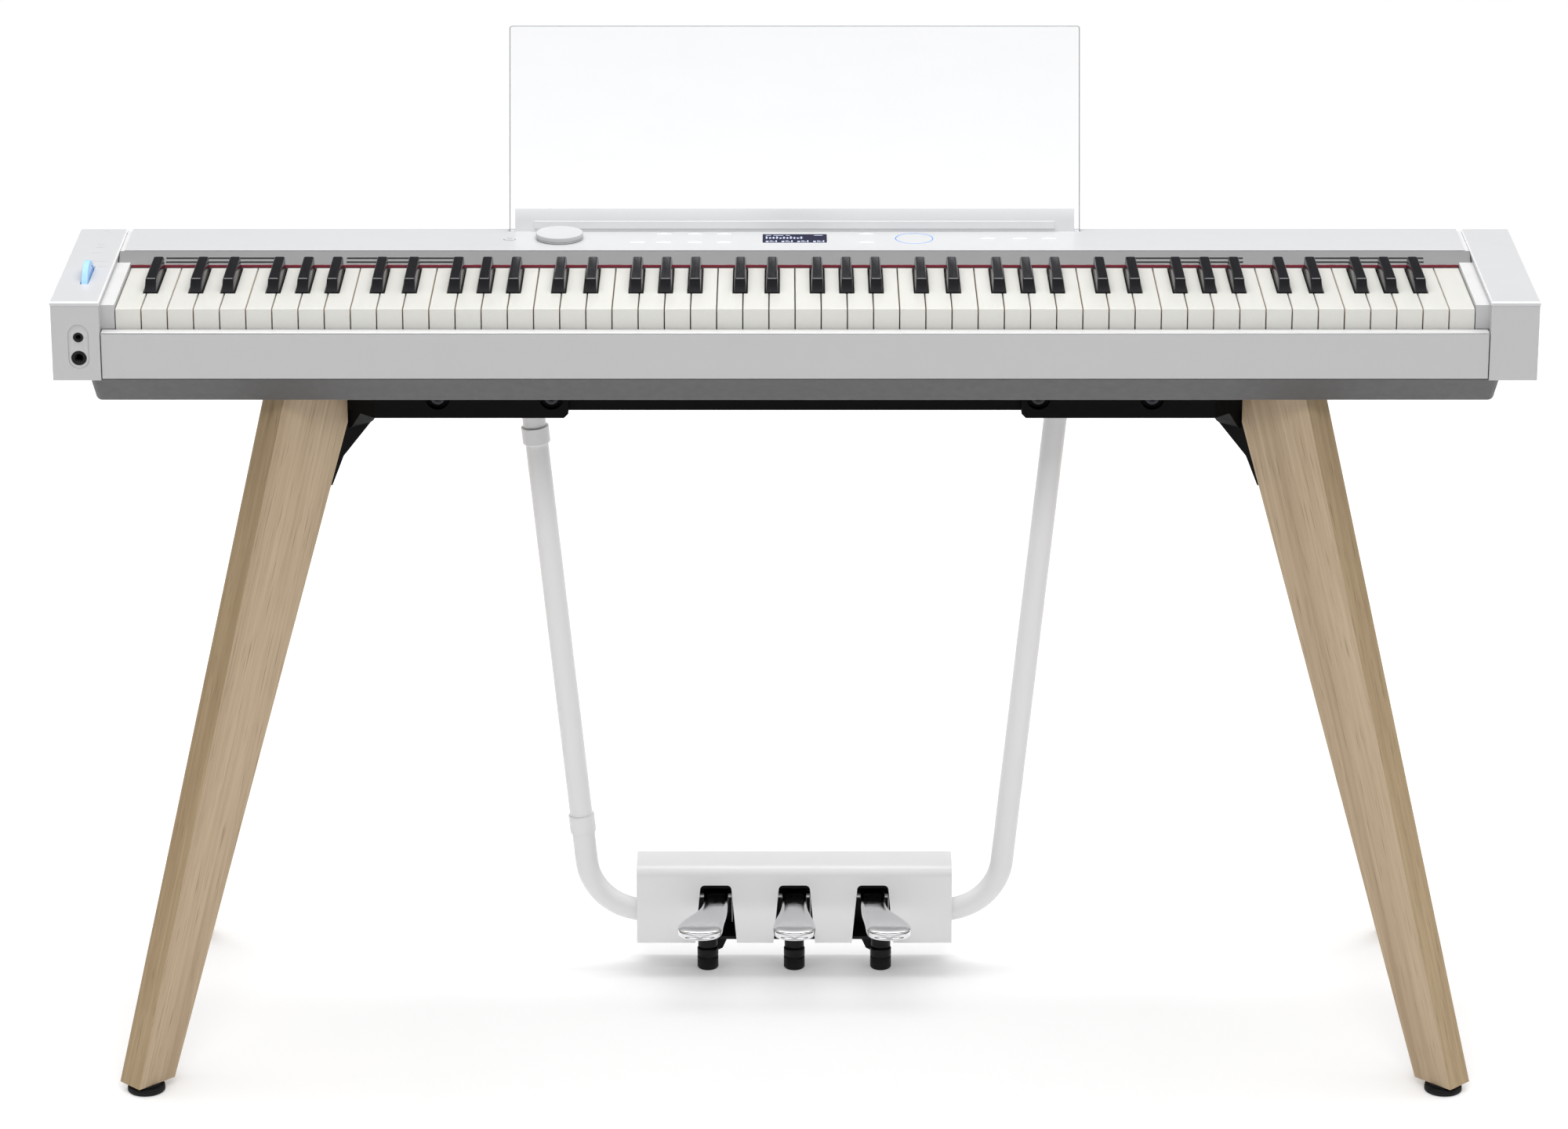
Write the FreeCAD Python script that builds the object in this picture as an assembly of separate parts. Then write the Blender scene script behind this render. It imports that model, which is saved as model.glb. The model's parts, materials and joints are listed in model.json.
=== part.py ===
"""Digital piano with 88 keys on a four-legged wooden stand with a triple pedal unit.

Frame: origin on the floor, below the middle of the instrument. +X is the player's right,
+Y points away from the player, +Z is up. Lengths are millimetres.
"""
import FreeCAD, Part
import math
import os

Vec = FreeCAD.Vector

# ---- instrument body ----
BODY_WIDTH = 1340.0
BODY_DEPTH = 242.0
TOP_Z = 740.0
BLOCK_HEIGHT = 74.0
CASE_HEIGHT = 28.0
BLOCK_WIDTH = 44.6
CAP_THICK = 3.6
CAP_LIP = 0.6
CAP_CHAMFER = 1.0
WALL = 3.0
FRONT_Y = -BODY_DEPTH / 2
REAR_Y = BODY_DEPTH / 2
SIDE_X = BODY_WIDTH / 2
BLOCK_INNER_X = SIDE_X - BLOCK_WIDTH
BLOCK_Z = TOP_Z - BLOCK_HEIGHT
CASE_Z = BLOCK_Z - CASE_HEIGHT
PANEL_FRONT_Y = 48.5
PANEL_HALF = 621.0
PANEL_THICK = 3.0
PANEL_Z = TOP_Z - PANEL_THICK
CHEEK_INNER_X = 613.5
CHEEK_TOP = 733.0
CHEEK_FRONT_Y = -106.0
CHEEK_BACK_Y = 31.4
SLIP_TOP = 710.2
SLIP_FRONT_Y = FRONT_Y + 2.0
SLIP_BACK_Y = -106.1
SLIP_FLOOR_BACK_Y = -103.0
SIDE_FIT = 0.2                       # gap between a long part and the end blocks
# lower case: half width, front and back at its open top and at its floor
CASE_TOP = (636.8, -117.0, 119.0)
CASE_FLOOR = (635.0, -91.0, 113.0)
CASE_ROUND = 6.0
CASE_WALL = 3.5
# sound slots in the sloping rail, and the rail's sloping face from its foot to the panel
RAIL_FACE_LOW = (31.5, 730.2)
RAIL_FACE_HIGH = (PANEL_FRONT_Y - 0.1, TOP_Z - 0.8)
SLOTS_X = ((311.5, 414.5), (477.0, 581.5))
SLOTS_Y = (35.25, 39.85)
SPEAKERS_X = (363.0, 529.2)
SPEAKER_Z = 707.0
# sockets in the rear wall: X of the power inlet and of three jacks, with their bores
REAR_JACKS = ((80.0, 3.1), (120.0, 3.25), (160.0, 3.25), (200.0, 3.25))
REAR_JACK_Z = 698.0
REAR_PLATE_Y = 114.0

# ---- keyboard ----
WHITE_COUNT = 52
WHITE_PITCH = 23.59
WHITE_GAP = 1.0
KEY_TOP = 729.0
KEY_BOTTOM = 709.0
KEY_FRONT_Y = -105.5
KEY_BACK_Y = 26.3
STICK_TOP = 724.0
STICK_WIDTH = 10.0
STICK_BACK_Y = 84.0
BLACK_BASE_WIDTH = 11.6
BLACK_TOP_WIDTH = 9.5
BLACK_TOP = 741.0
BLACK_SHOULDER = 728.0
BLACK_FRONT_Y = -55.0
BLACK_SLOPE = 7.5
BLACK_BACK_Y = 24.0
BLACK_CLEAR = 1.0
KEY_PIVOT_Y = 76.0
KEY_PIVOT_Z = 716.0
KEY_ROD_R = 2.5
RUNNING_CLEARANCE = 0.06
# the white keys of one octave and the black keys: boundary in white pitches, shift off it
WHITE_NAMES = ("c", "d", "e", "f", "g", "a", "b")
BLACK_KEYS = {"c_sharp": (1, -2.8), "d_sharp": (2, 2.8), "f_sharp": (4, -3.2),
              "g_sharp": (5, 0.0), "a_sharp": (6, 3.2)}
FIRST_C = 2

# ---- controls on the top panel ----
CONTROL_Y = 88.0
DIAL_X = -219.5
DIAL_R = 22.0
DIAL_SHAFT_R = 3.0
POWER_X = -266.0
POWER_Y = 85.5
POWER_R = 5.6
RING_X = 111.5
RING_R = 17.9
RING_WIDTH = 0.9
DISPLAY_HALF = 30.0
DISPLAY_DEPTH = 29.0
BOARD_Z = 728.0
BOARD_THICK = 1.6

# ---- pitch wheel and headphone sockets in the left end block ----
WHEEL_X = -645.5
WHEEL_Y = -34.0
WHEEL_Z = 720.5
WHEEL_R = 32.5
WHEEL_WIDTH = 6.4
JACK_X = -645.3
JACK_PLATE_Z = 697.6
JACK_PLATE_W = 18.4
JACK_PLATE_H = 41.3
SMALL_JACK_Z = 706.4
LARGE_JACK_Z = 687.0
SMALL_JACK_R = 4.7
LARGE_JACK_R = 6.95
SMALL_BORE_R = 1.8
LARGE_BORE_R = 3.25
BORE_DEPTH = 16.0

# ---- music rest ----
REST_WIDTH = 534.8
REST_THICK = 4.0
REST_ABOVE = 193.5
REST_BELOW = 17.0
REST_LEAN = 19.0
REST_Y = 114.0
REST_CLEAR = 0.3
LEDGE_HALF = 244.0
LEDGE_DEPTH = 2.5
LEDGE_HEIGHT = 7.5

# ---- stand ----
LEG_THICK = 28.0
LEG_FACE = 392.0 / math.sqrt(2)      # distance of the leg's inner wide face from the Z axis
LEG_BOTTOM = 8.0
LEG_TOP = 637.0
LEG_OUTER_AT_0 = 583.0
LEG_OUTER_SLOPE = 0.3174
LEG_INNER_AT_0 = 541.5
LEG_INNER_SLOPE = 0.3949
LEG_SHOULDER = 306.5                 # the inner edge stands upright above this reach
FOOT_R = 17.4
FOOT_X = 602.0
FOOT_Y = 195.0
BRACKET_INNER_X = 208.0
BRACKET_FRONT = 48.0
BRACKET_BOTTOM = 607.4
BRACKET_WELLS_X = (223.4, 327.7)
WELL_Z = 626.4
WELL_R = 11.0
WELL_DEPTH = 5.0
RAIL_HALF_DEPTH = 36.0
RAIL_BOTTOM = 611.3
RAIL_WALL = 3.0
CASE_SCREWS_X = (262.0, 352.0)
CASE_SCREWS_Y = 28.0

# ---- pedal unit ----
HOUSING_HALF = 153.0
HOUSING_FRONT_Y = 80.0
HOUSING_REAR_Y = 125.0
HOUSING_BOTTOM = 30.4
HOUSING_TOP = 108.3
HOUSING_R = 10.0
HOUSING_WALL = 2.5
SLOT_PITCH = 76.2
SLOT_TOP = 90.7
SLOT_TOP_HALF = 14.8
SLOT_BOTTOM_HALF = 20.3
SLOT_R = 4.6
PEDAL_PIVOT_Y = 107.0
PEDAL_PIVOT_Z = 70.0
PEDAL_SHAFT_R = 4.0
PEDAL_HUB_R = 8.5
NECK_HALF = 12.0
TUBE_R = 11.0
TUBE_WALL = 1.6
TUBE_Y = 102.0
# the tube's centre line as (x, z): its top, the corner that the bend rounds, its end
TUBE_TOP = (253.9, 632.0)
TUBE_CORNER = (197.6, 66.0)
TUBE_END = (143.0, 55.1)
TUBE_BEND_R = 57.0
ADJUSTER_X = 84.3
ADJUSTER_Y = 92.0
ADJUSTER_R = 10.25


# ---------------------------------------------------------------- helpers
def box(x_low, x_high, y_low, y_high, z_low, z_high):
    return Part.makeBox(x_high - x_low, y_high - y_low, z_high - z_low,
                        Vec(x_low, y_low, z_low))


def rod(start, end, radius):
    """Round bar between two points."""
    start, end = Vec(*start), Vec(*end)
    return Part.makeCylinder(radius, (end - start).Length, start, end - start)


def face_of(points):
    wire = Part.makePolygon([Vec(*p) for p in points] + [Vec(*points[0])])
    return Part.Face(wire)


def prism_x(outline, x_low, x_high):
    """Outline of (y, z) points drawn out along X."""
    return face_of([(x_low, y, z) for y, z in outline]).extrude(Vec(x_high - x_low, 0, 0))


def prism_y(outline, y_low, y_high):
    """Outline of (x, z) points drawn out along Y."""
    return face_of([(x, y_low, z) for x, z in outline]).extrude(Vec(0, y_high - y_low, 0))


def prism_z(outline, z_low, z_high):
    """Outline of (x, y) points drawn out along Z."""
    return face_of([(x, y, z_low) for x, y in outline]).extrude(Vec(0, 0, z_high - z_low))


def mirror_x(shape):
    return shape.mirror(Vec(0, 0, 0), Vec(1, 0, 0))


def mirror_y(shape):
    return shape.mirror(Vec(0, 0, 0), Vec(0, 1, 0))


def both_sides(shape):
    return [shape, mirror_x(shape)]


def four_corners(shape):
    return both_sides(shape) + both_sides(mirror_y(shape))


def fuse(first, *others):
    return first.fuse(list(others)).removeSplitter()


def cut(body, *tools):
    return body.cut(list(tools))


def export(name, *solids):
    """Write one node; several solids become one compound."""
    shape = solids[0] if len(solids) == 1 else Part.makeCompound(list(solids))
    for solid in shape.Solids:
        if not solid.isValid() or solid.Volume <= 0:
            raise ValueError("bad solid in " + name)
    shape.exportStep(os.path.join("parts", name + ".step"))
    print("%-22s solids %3d  volume %10.1f cm3" % (name, len(shape.Solids), shape.Volume / 1000))


# ---------------------------------------------------------------- instrument case
def lower_case():
    """Grey tray with sloping walls; the keyboard chassis stands in it."""
    def shell(inset, z_low):
        wires = []
        for (half, front, back), z in ((CASE_FLOOR, z_low), (CASE_TOP, BLOCK_Z)):
            half, front, back = half - inset, front + inset, back - inset
            ring = [(-half, front), (half, front), (half, back), (-half, back), (-half, front)]
            wires.append(Part.makePolygon([Vec(x, y, z) for x, y in ring]))
        return Part.makeLoft(wires, True, True)

    outer = shell(0.0, CASE_Z)
    rounded = [edge for edge in outer.Edges
               if min(v.Z for v in edge.Vertexes) < CASE_Z + 0.01]
    outer = outer.makeFillet(CASE_ROUND, rounded)
    inner = shell(CASE_WALL, CASE_Z + CASE_WALL)
    bosses = []
    for x in CASE_SCREWS_X:
        bosses += four_corners(rod((x, CASE_SCREWS_Y, CASE_Z + 2), (x, CASE_SCREWS_Y, CASE_Z + 16), 7))
    holes = []
    for x in CASE_SCREWS_X:
        holes += four_corners(rod((x, CASE_SCREWS_Y, CASE_Z - 1), (x, CASE_SCREWS_Y, CASE_Z + 14), 3))
    return cut(fuse(cut(outer, inner), *bosses), *holes)


def key_slip():
    """Front rail between the end blocks, with a ledge back to the keys."""
    half = BLOCK_INNER_X - SIDE_FIT
    floor = BLOCK_Z + 1
    soft = 0.8
    outline = [(SLIP_FRONT_Y, floor), (SLIP_FRONT_Y, SLIP_TOP - soft),
               (SLIP_FRONT_Y + soft, SLIP_TOP), (SLIP_BACK_Y, SLIP_TOP),
               (SLIP_BACK_Y, SLIP_TOP - WALL), (SLIP_FRONT_Y + WALL, SLIP_TOP - WALL),
               (SLIP_FRONT_Y + WALL, floor + WALL), (SLIP_FLOOR_BACK_Y, floor + WALL),
               (SLIP_FLOOR_BACK_Y, floor)]
    return prism_x(outline, -half, half)


def right_end_block():
    """Hollow end block with the key cheek and the strip beside the top panel."""
    inner = BLOCK_INNER_X + CAP_LIP
    outer = SIDE_X - CAP_LIP
    near = FRONT_Y + CAP_LIP
    far = REAR_Y - CAP_LIP
    block = box(inner, outer, near, far, BLOCK_Z, TOP_Z - CAP_THICK)
    cheek = box(CHEEK_INNER_X, inner, CHEEK_FRONT_Y, CHEEK_BACK_Y, SLIP_TOP, CHEEK_TOP)
    skirt = box(CHEEK_INNER_X, inner, SLIP_FLOOR_BACK_Y + SIDE_FIT, CHEEK_BACK_Y,
                BLOCK_Z + 1 + WALL + SIDE_FIT, SLIP_TOP)
    strip_y = (PANEL_FRONT_Y + SIDE_FIT, far - WALL - SIDE_FIT)
    ledge = box(PANEL_HALF + SIDE_FIT, inner, *strip_y, 715.0, TOP_Z - CAP_THICK - 1)
    strip = box(PANEL_HALF + SIDE_FIT, BLOCK_INNER_X - SIDE_FIT, *strip_y, 730.0, TOP_Z - 1.2)
    hollow = box(inner + WALL, outer - WALL, near + WALL, far - WALL,
                 BLOCK_Z + WALL, TOP_Z - CAP_THICK)
    return cut(fuse(block, cheek, skirt, ledge, strip), hollow)


def left_end_block():
    """Mirror of the right block with the socket plate opening and the pitch wheel's pin."""
    block = mirror_x(right_end_block())
    near = FRONT_Y + CAP_LIP
    opening = pill(JACK_X, JACK_PLATE_Z, JACK_PLATE_W, JACK_PLATE_H, near - 1, near + WALL + 1)
    return fuse(cut(block, opening), wheel_pin())


def pill(x, z, width, height, y_low, y_high):
    """Upright slot shape drawn out along Y."""
    radius = width / 2
    straight = height / 2 - radius
    middle = box(x - radius, x + radius, y_low, y_high, z - straight, z + straight)
    ends = [rod((x, y_low, z + side * straight), (x, y_high, z + side * straight), radius)
            for side in (-1, 1)]
    return fuse(middle, *ends)


def jack_plate():
    near = FRONT_Y + CAP_LIP
    plate = pill(JACK_X, JACK_PLATE_Z, JACK_PLATE_W - 0.2, JACK_PLATE_H - 0.2, near + 0.4, near + WALL)
    small = rod((JACK_X, near - 1, SMALL_JACK_Z), (JACK_X, near + 5, SMALL_JACK_Z), SMALL_JACK_R)
    large = rod((JACK_X, near - 1, LARGE_JACK_Z), (JACK_X, near + 5, LARGE_JACK_Z), LARGE_JACK_R)
    return cut(plate, small, large)


def headphone_jacks():
    """A 3.5 mm and a 6.3 mm socket, each a bush with a blind bore."""
    front = FRONT_Y + CAP_LIP + 0.8
    jacks = []
    for z, radius, bore in ((SMALL_JACK_Z, SMALL_JACK_R, SMALL_BORE_R),
                            (LARGE_JACK_Z, LARGE_JACK_R, LARGE_BORE_R)):
        bush = rod((JACK_X, front, z), (JACK_X, front + BORE_DEPTH + 4, z), radius - 0.05)
        hole = rod((JACK_X, front - 1, z), (JACK_X, front + BORE_DEPTH, z), bore)
        jacks.append(cut(bush, hole))
    return jacks


def right_end_cap():
    """Glossy plate on top of the end block, proud of it all round."""
    plate = box(BLOCK_INNER_X, SIDE_X, FRONT_Y, REAR_Y, TOP_Z - CAP_THICK, TOP_Z)
    top_edges = [edge for edge in plate.Edges if all(abs(v.Z - TOP_Z) < 0.01 for v in edge.Vertexes)]
    return plate.makeChamfer(CAP_CHAMFER, top_edges)


def left_end_cap():
    half_width = WHEEL_WIDTH / 2 + 0.8
    half_length = math.sqrt(WHEEL_R ** 2 - (TOP_Z - CAP_THICK - WHEEL_Z) ** 2) + 1.4
    slot = box(WHEEL_X - half_width, WHEEL_X + half_width, WHEEL_Y - half_length,
               WHEEL_Y + half_length, TOP_Z - CAP_THICK - 1, TOP_Z + 1)
    return cut(mirror_x(right_end_cap()), slot)


def wheel_pin():
    """Moulded pin that the pitch wheel turns on, from wall to wall of the end block."""
    return rod((-SIDE_X + CAP_LIP + 1.5, WHEEL_Y, WHEEL_Z), (-BLOCK_INNER_X - 2.1, WHEEL_Y, WHEEL_Z), 2.5)


def pitch_wheel():
    half = WHEEL_WIDTH / 2
    disc = rod((WHEEL_X - half, WHEEL_Y, WHEEL_Z), (WHEEL_X + half, WHEEL_Y, WHEEL_Z), WHEEL_R)
    rims = [edge for edge in disc.Edges if edge.Length > 100]
    disc = disc.makeFillet(1.5, rims)
    hub = rod((WHEEL_X - 12, WHEEL_Y, WHEEL_Z), (WHEEL_X + 12, WHEEL_Y, WHEEL_Z), 6.0)
    bore = rod((WHEEL_X - 13, WHEEL_Y, WHEEL_Z), (WHEEL_X + 13, WHEEL_Y, WHEEL_Z),
               2.5 + RUNNING_CLEARANCE)
    return cut(fuse(disc, hub), bore)


# ---------------------------------------------------------------- top panel and its controls
def rest_block(grow, low, high, half_width):
    """Upright slab of the music rest, leaned back into its place."""
    half_thick = REST_THICK / 2 + grow
    slab = box(-half_width, half_width, -half_thick, half_thick, low, high)
    return lean(slab)


def lean(shape):
    shape.rotate(Vec(0, 0, 0), Vec(1, 0, 0), -REST_LEAN)
    shape.translate(Vec(0, REST_Y, TOP_Z - 1))
    return shape


def top_panel():
    """Glossy plate behind the keys with the socket of the music rest under its rear edge."""
    plate = box(-PANEL_HALF, PANEL_HALF, PANEL_FRONT_Y, REAR_Y, PANEL_Z, TOP_Z)
    socket = box(-276, 276, 100.5, 117.8, 717.0, PANEL_Z)
    slot = rest_block(REST_CLEAR, -REST_BELOW - REST_CLEAR, 12, REST_WIDTH / 2 + REST_CLEAR * 2)
    window = box(-DISPLAY_HALF, DISPLAY_HALF, CONTROL_Y - DISPLAY_DEPTH / 2,
                 CONTROL_Y + DISPLAY_DEPTH / 2, TOP_Z - 1.2, TOP_Z + 1)
    button_hole = rod((POWER_X, POWER_Y, PANEL_Z - 1), (POWER_X, POWER_Y, TOP_Z + 1), POWER_R + 0.35)
    dial_hole = rod((DIAL_X, CONTROL_Y, PANEL_Z - 1), (DIAL_X, CONTROL_Y, TOP_Z + 1), DIAL_SHAFT_R + 1)
    return cut(fuse(plate, socket), slot, window, button_hole, dial_hole, ring_body(0.0))


def ring_body(proud):
    """Lit ring let into the panel."""
    low = (RING_X, CONTROL_Y, TOP_Z - 1.2)
    high = (RING_X, CONTROL_Y, TOP_Z + proud)
    return cut(rod(low, high, RING_R), rod(low, high, RING_R - RING_WIDTH))


def display_window():
    return box(-DISPLAY_HALF, DISPLAY_HALF, CONTROL_Y - DISPLAY_DEPTH / 2,
               CONTROL_Y + DISPLAY_DEPTH / 2, TOP_Z - 1.2, TOP_Z)


def control_dial():
    """Flat rotary knob with a groove round its skirt and a shaft into the encoder."""
    centre = (DIAL_X, CONTROL_Y)
    skirt = rod((*centre, TOP_Z + 0.5), (*centre, TOP_Z + 1.6), DIAL_R)
    groove = rod((*centre, TOP_Z + 1.6), (*centre, TOP_Z + 2.2), DIAL_R - 0.8)
    disc = rod((*centre, TOP_Z + 2.2), (*centre, TOP_Z + 6.2), DIAL_R)
    top_rim = [edge for edge in disc.Edges if edge.Vertexes[0].Z > TOP_Z + 6.1
               and edge.Vertexes[-1].Z > TOP_Z + 6.1]
    disc = disc.makeFillet(0.8, top_rim)
    shaft = rod((*centre, BOARD_Z + BOARD_THICK + 1.4), (*centre, TOP_Z + 0.5), DIAL_SHAFT_R)
    return fuse(skirt, groove, disc, shaft)


def power_button():
    cap = rod((POWER_X, POWER_Y, TOP_Z - 2.4), (POWER_X, POWER_Y, TOP_Z + 0.8), POWER_R)
    stem = rod((POWER_X, POWER_Y, BOARD_Z + BOARD_THICK + 2.4), (POWER_X, POWER_Y, TOP_Z - 2.4), 2.0)
    return fuse(cap, stem)


def circuit_board():
    """Control board under the panel with the dial's encoder, the switch and a few chips."""
    top = BOARD_Z + BOARD_THICK
    board = box(-292, 262, 63, 99, BOARD_Z, top)
    encoder = cut(rod((DIAL_X, CONTROL_Y, top), (DIAL_X, CONTROL_Y, top + 5), 8),
                  rod((DIAL_X, CONTROL_Y, top), (DIAL_X, CONTROL_Y, top + 6),
                      DIAL_SHAFT_R + RUNNING_CLEARANCE))
    switch = box(POWER_X - 4, POWER_X + 4, POWER_Y - 4, POWER_Y + 4, top, top + 1.2)
    chips = [box(x, x + 16, 74, 90, top, top + 2.2) for x in (-150, -90, 60, 170)]
    return fuse(board, encoder, switch, *chips)


def grille_rail():
    """Satin rail that slopes from the panel's front edge down to the felt, with sound slots."""
    (low_y, low_z), (high_y, high_z) = RAIL_FACE_LOW, RAIL_FACE_HIGH
    felt_seat = low_z - 0.8
    outline = [(27.0, 727.2), (27.0, felt_seat), (low_y, felt_seat), (low_y, low_z), (high_y, high_z),
               (high_y, PANEL_Z - 0.1), (62.0, PANEL_Z - 0.1), (62.0, 734.4),
               (50.0, 734.4), (36.0, 727.2)]
    middle = prism_x(outline, -CHEEK_INNER_X + SIDE_FIT, CHEEK_INNER_X - SIDE_FIT)
    end_outline = [(low_y, low_z), (high_y, high_z), (high_y, 735.0), (40.0, 728.0), (low_y, 728.0)]
    half = BLOCK_INNER_X - SIDE_FIT
    rail = fuse(middle, prism_x(end_outline, -half, half))
    rise = (high_z - low_z) / (high_y - low_y)
    slope = math.degrees(math.atan(rise))
    slots = []
    for y in SLOTS_Y:
        z = low_z + (y - low_y) * rise
        for x_low, x_high in SLOTS_X:
            slot = box(x_low, x_high, -1.0, 1.0, -9.0, 4.0)
            slot.rotate(Vec(0, 0, 0), Vec(1, 0, 0), slope)
            slot.translate(Vec(0, y, z))
            slots += both_sides(slot)
    return cut(rail, *slots)


def felt_strip():
    half = CHEEK_INNER_X - 0.7
    seat = RAIL_FACE_LOW[1] - 0.8
    return box(-half, half, 27.0, RAIL_FACE_LOW[0] - 0.1, seat, seat + 1.6)


def rear_cover():
    half = BLOCK_INNER_X - SIDE_FIT
    wall = box(-half, half, REAR_Y - WALL, REAR_Y, BLOCK_Z, PANEL_Z)
    opening = box(58, 242, REAR_Y - WALL - 1, REAR_Y + 1, 682, 714)
    return cut(wall, opening)


def connector_plate():
    """Recessed tray in the rear wall with the power inlet and the audio sockets."""
    tray = box(58.1, 241.9, REAR_PLATE_Y - 3, REAR_Y - 0.5, 682.1, 713.9)
    recess = box(60, 240, REAR_PLATE_Y, REAR_Y + 1, 684, 712)
    bosses = [rod((x, REAR_PLATE_Y - 15, REAR_JACK_Z), (x, REAR_PLATE_Y - 3, REAR_JACK_Z), 7)
              for x, _ in REAR_JACKS]
    bores = [rod((x, REAR_PLATE_Y - 12, REAR_JACK_Z), (x, REAR_PLATE_Y + 1, REAR_JACK_Z), r)
             for x, r in REAR_JACKS]
    return cut(fuse(cut(tray, recess), *bosses), *bores)


def speakers():
    """Four oval loudspeakers behind the sound slots."""
    units = []
    for x in SPEAKERS_X:
        frame = box(x - 52, x + 52, 108, 112, SPEAKER_Z - 23, SPEAKER_Z + 23)
        basket = rod((x, 95, SPEAKER_Z), (x, 108, SPEAKER_Z), 20)
        magnet = rod((x, 112, SPEAKER_Z), (x, 117, SPEAKER_Z), 16)
        cone = Part.makeCone(17, 6, 11, Vec(x, 94.9, SPEAKER_Z), Vec(0, 1, 0))
        units += both_sides(cut(fuse(frame, basket, magnet), cone))
    return units


def music_rest():
    """Clear sheet that leans back and stands in the slot of the top panel."""
    half = REST_WIDTH / 2
    sheet = box(-half, half, -REST_THICK / 2, REST_THICK / 2, -REST_BELOW, REST_ABOVE)
    corners = [edge for edge in sheet.Edges if edge.Length < REST_THICK + 0.1
               and all(abs(v.Z - REST_ABOVE) < 0.01 for v in edge.Vertexes)]
    return lean(sheet.makeFillet(3.0, corners))


def music_rest_ledge():
    """Low strip on the sheet that the pages stand on."""
    back = -REST_THICK / 2
    low = 2.5
    return lean(box(-LEDGE_HALF, LEDGE_HALF, back - LEDGE_DEPTH, back, low, low + LEDGE_HEIGHT))


# ---------------------------------------------------------------- keyboard
def white_left(index):
    return -WHITE_COUNT * WHITE_PITCH / 2 + index * WHITE_PITCH


def black_centres():
    """X of every black key by name, from A sharp 0 to A sharp 7."""
    centres = {name: [] for name in BLACK_KEYS}
    for octave in range(-1, 7):
        for name, (boundary, shift) in BLACK_KEYS.items():
            index = FIRST_C + 7 * octave + boundary
            if 0 < index < WHITE_COUNT - 1:
                centres[name].append(white_left(index) + shift)
    return centres


def white_key(index, blacks):
    """Plate that is wide in front and cut back beside its black neighbours, on a narrow stick."""
    left = white_left(index) + WHITE_GAP / 2
    right = white_left(index + 1) - WHITE_GAP / 2
    reach = BLACK_BASE_WIDTH / 2 + BLACK_CLEAR
    tail_left = max([left] + [c + reach for c in blacks if c < (left + right) / 2 and c + reach > left])
    tail_right = min([right] + [c - reach for c in blacks if c > (left + right) / 2 and c - reach < right])
    shoulder = BLACK_FRONT_Y - BLACK_CLEAR
    outline = [(left, KEY_FRONT_Y), (right, KEY_FRONT_Y), (right, shoulder), (tail_right, shoulder),
               (tail_right, KEY_BACK_Y), (tail_left, KEY_BACK_Y), (tail_left, shoulder),
               (left, shoulder)]
    tidy = [p for i, p in enumerate(outline) if p != outline[i - 1]]
    plate = prism_z(tidy, KEY_BOTTOM, KEY_TOP)
    return fuse_stick(plate, (tail_left + tail_right) / 2, KEY_BACK_Y)


def fuse_stick(plate, x, y_start):
    stick = box(x - STICK_WIDTH / 2, x + STICK_WIDTH / 2, y_start, STICK_BACK_Y,
                KEY_BOTTOM, STICK_TOP)
    bore = rod((x - STICK_WIDTH, KEY_PIVOT_Y, KEY_PIVOT_Z), (x + STICK_WIDTH, KEY_PIVOT_Y, KEY_PIVOT_Z),
               KEY_ROD_R + RUNNING_CLEARANCE)
    return cut(fuse(plate, stick), bore)


def black_key(x):
    """Tapered black cap with a sloping front on a narrow stick."""
    def ring(half, front, z):
        corners = [(x - half, front), (x + half, front), (x + half, BLACK_BACK_Y),
                   (x - half, BLACK_BACK_Y)]
        return Part.makePolygon([Vec(px, py, z) for px, py in corners + corners[:1]])

    base_half = BLACK_BASE_WIDTH / 2
    cap = Part.makeLoft([ring(base_half, BLACK_FRONT_Y, BLACK_SHOULDER),
                         ring(BLACK_TOP_WIDTH / 2, BLACK_FRONT_Y + BLACK_SLOPE, BLACK_TOP)], True, True)
    block = box(x - base_half, x + base_half, BLACK_FRONT_Y, BLACK_BACK_Y, KEY_BOTTOM, BLACK_SHOULDER)
    return fuse_stick(fuse(block, cap), x, BLACK_BACK_Y)


def keyboard():
    """Twelve groups of keys, one per note name."""
    centres = black_centres()
    blacks = sorted(x for group in centres.values() for x in group)
    groups = {"keys_" + name: [] for name in WHITE_NAMES}
    for index in range(WHITE_COUNT):
        name = WHITE_NAMES[(index - FIRST_C) % 7]
        groups["keys_" + name].append(white_key(index, blacks))
    for name, group in centres.items():
        groups["keys_" + name] = [black_key(x) for x in group]
    return groups


def key_posts_x():
    """Between every B and the C after it there is room for a post under the pivot rod."""
    return [white_left(index) for index in range(FIRST_C, WHITE_COUNT, 7)]


def key_chassis():
    """Frame that carries the pivot rod, with feet down to the case and a front guide."""
    half = 612.6
    base = box(-half, half, -98, 88, 672, 676)
    feet = [box(-half, half, y, y + 4, CASE_Z + CASE_WALL, 672) for y in (-80, 50)]
    guide = box(-half, half, -84, -78, 676, 694)
    posts = [box(x - 1, x + 1, 68, 86, 676, 721) for x in key_posts_x()]
    ends = both_sides(fuse(box(614.5, 618.5, 64, 88, 672, 722), box(612, 618.5, 64, 88, 672, 676)))
    return cut(fuse(base, guide, *feet, *posts, *ends), key_pivot_rod())


def key_pivot_rod():
    return rod((-619.5, KEY_PIVOT_Y, KEY_PIVOT_Z), (619.5, KEY_PIVOT_Y, KEY_PIVOT_Z), KEY_ROD_R)


# ---------------------------------------------------------------- stand
def leg_point(reach, height, offset):
    """Point of the front right leg: reach runs outwards along its diagonal, offset across it."""
    across = LEG_FACE + offset
    return ((reach + across) / math.sqrt(2), (across - reach) / math.sqrt(2), height)


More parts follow.
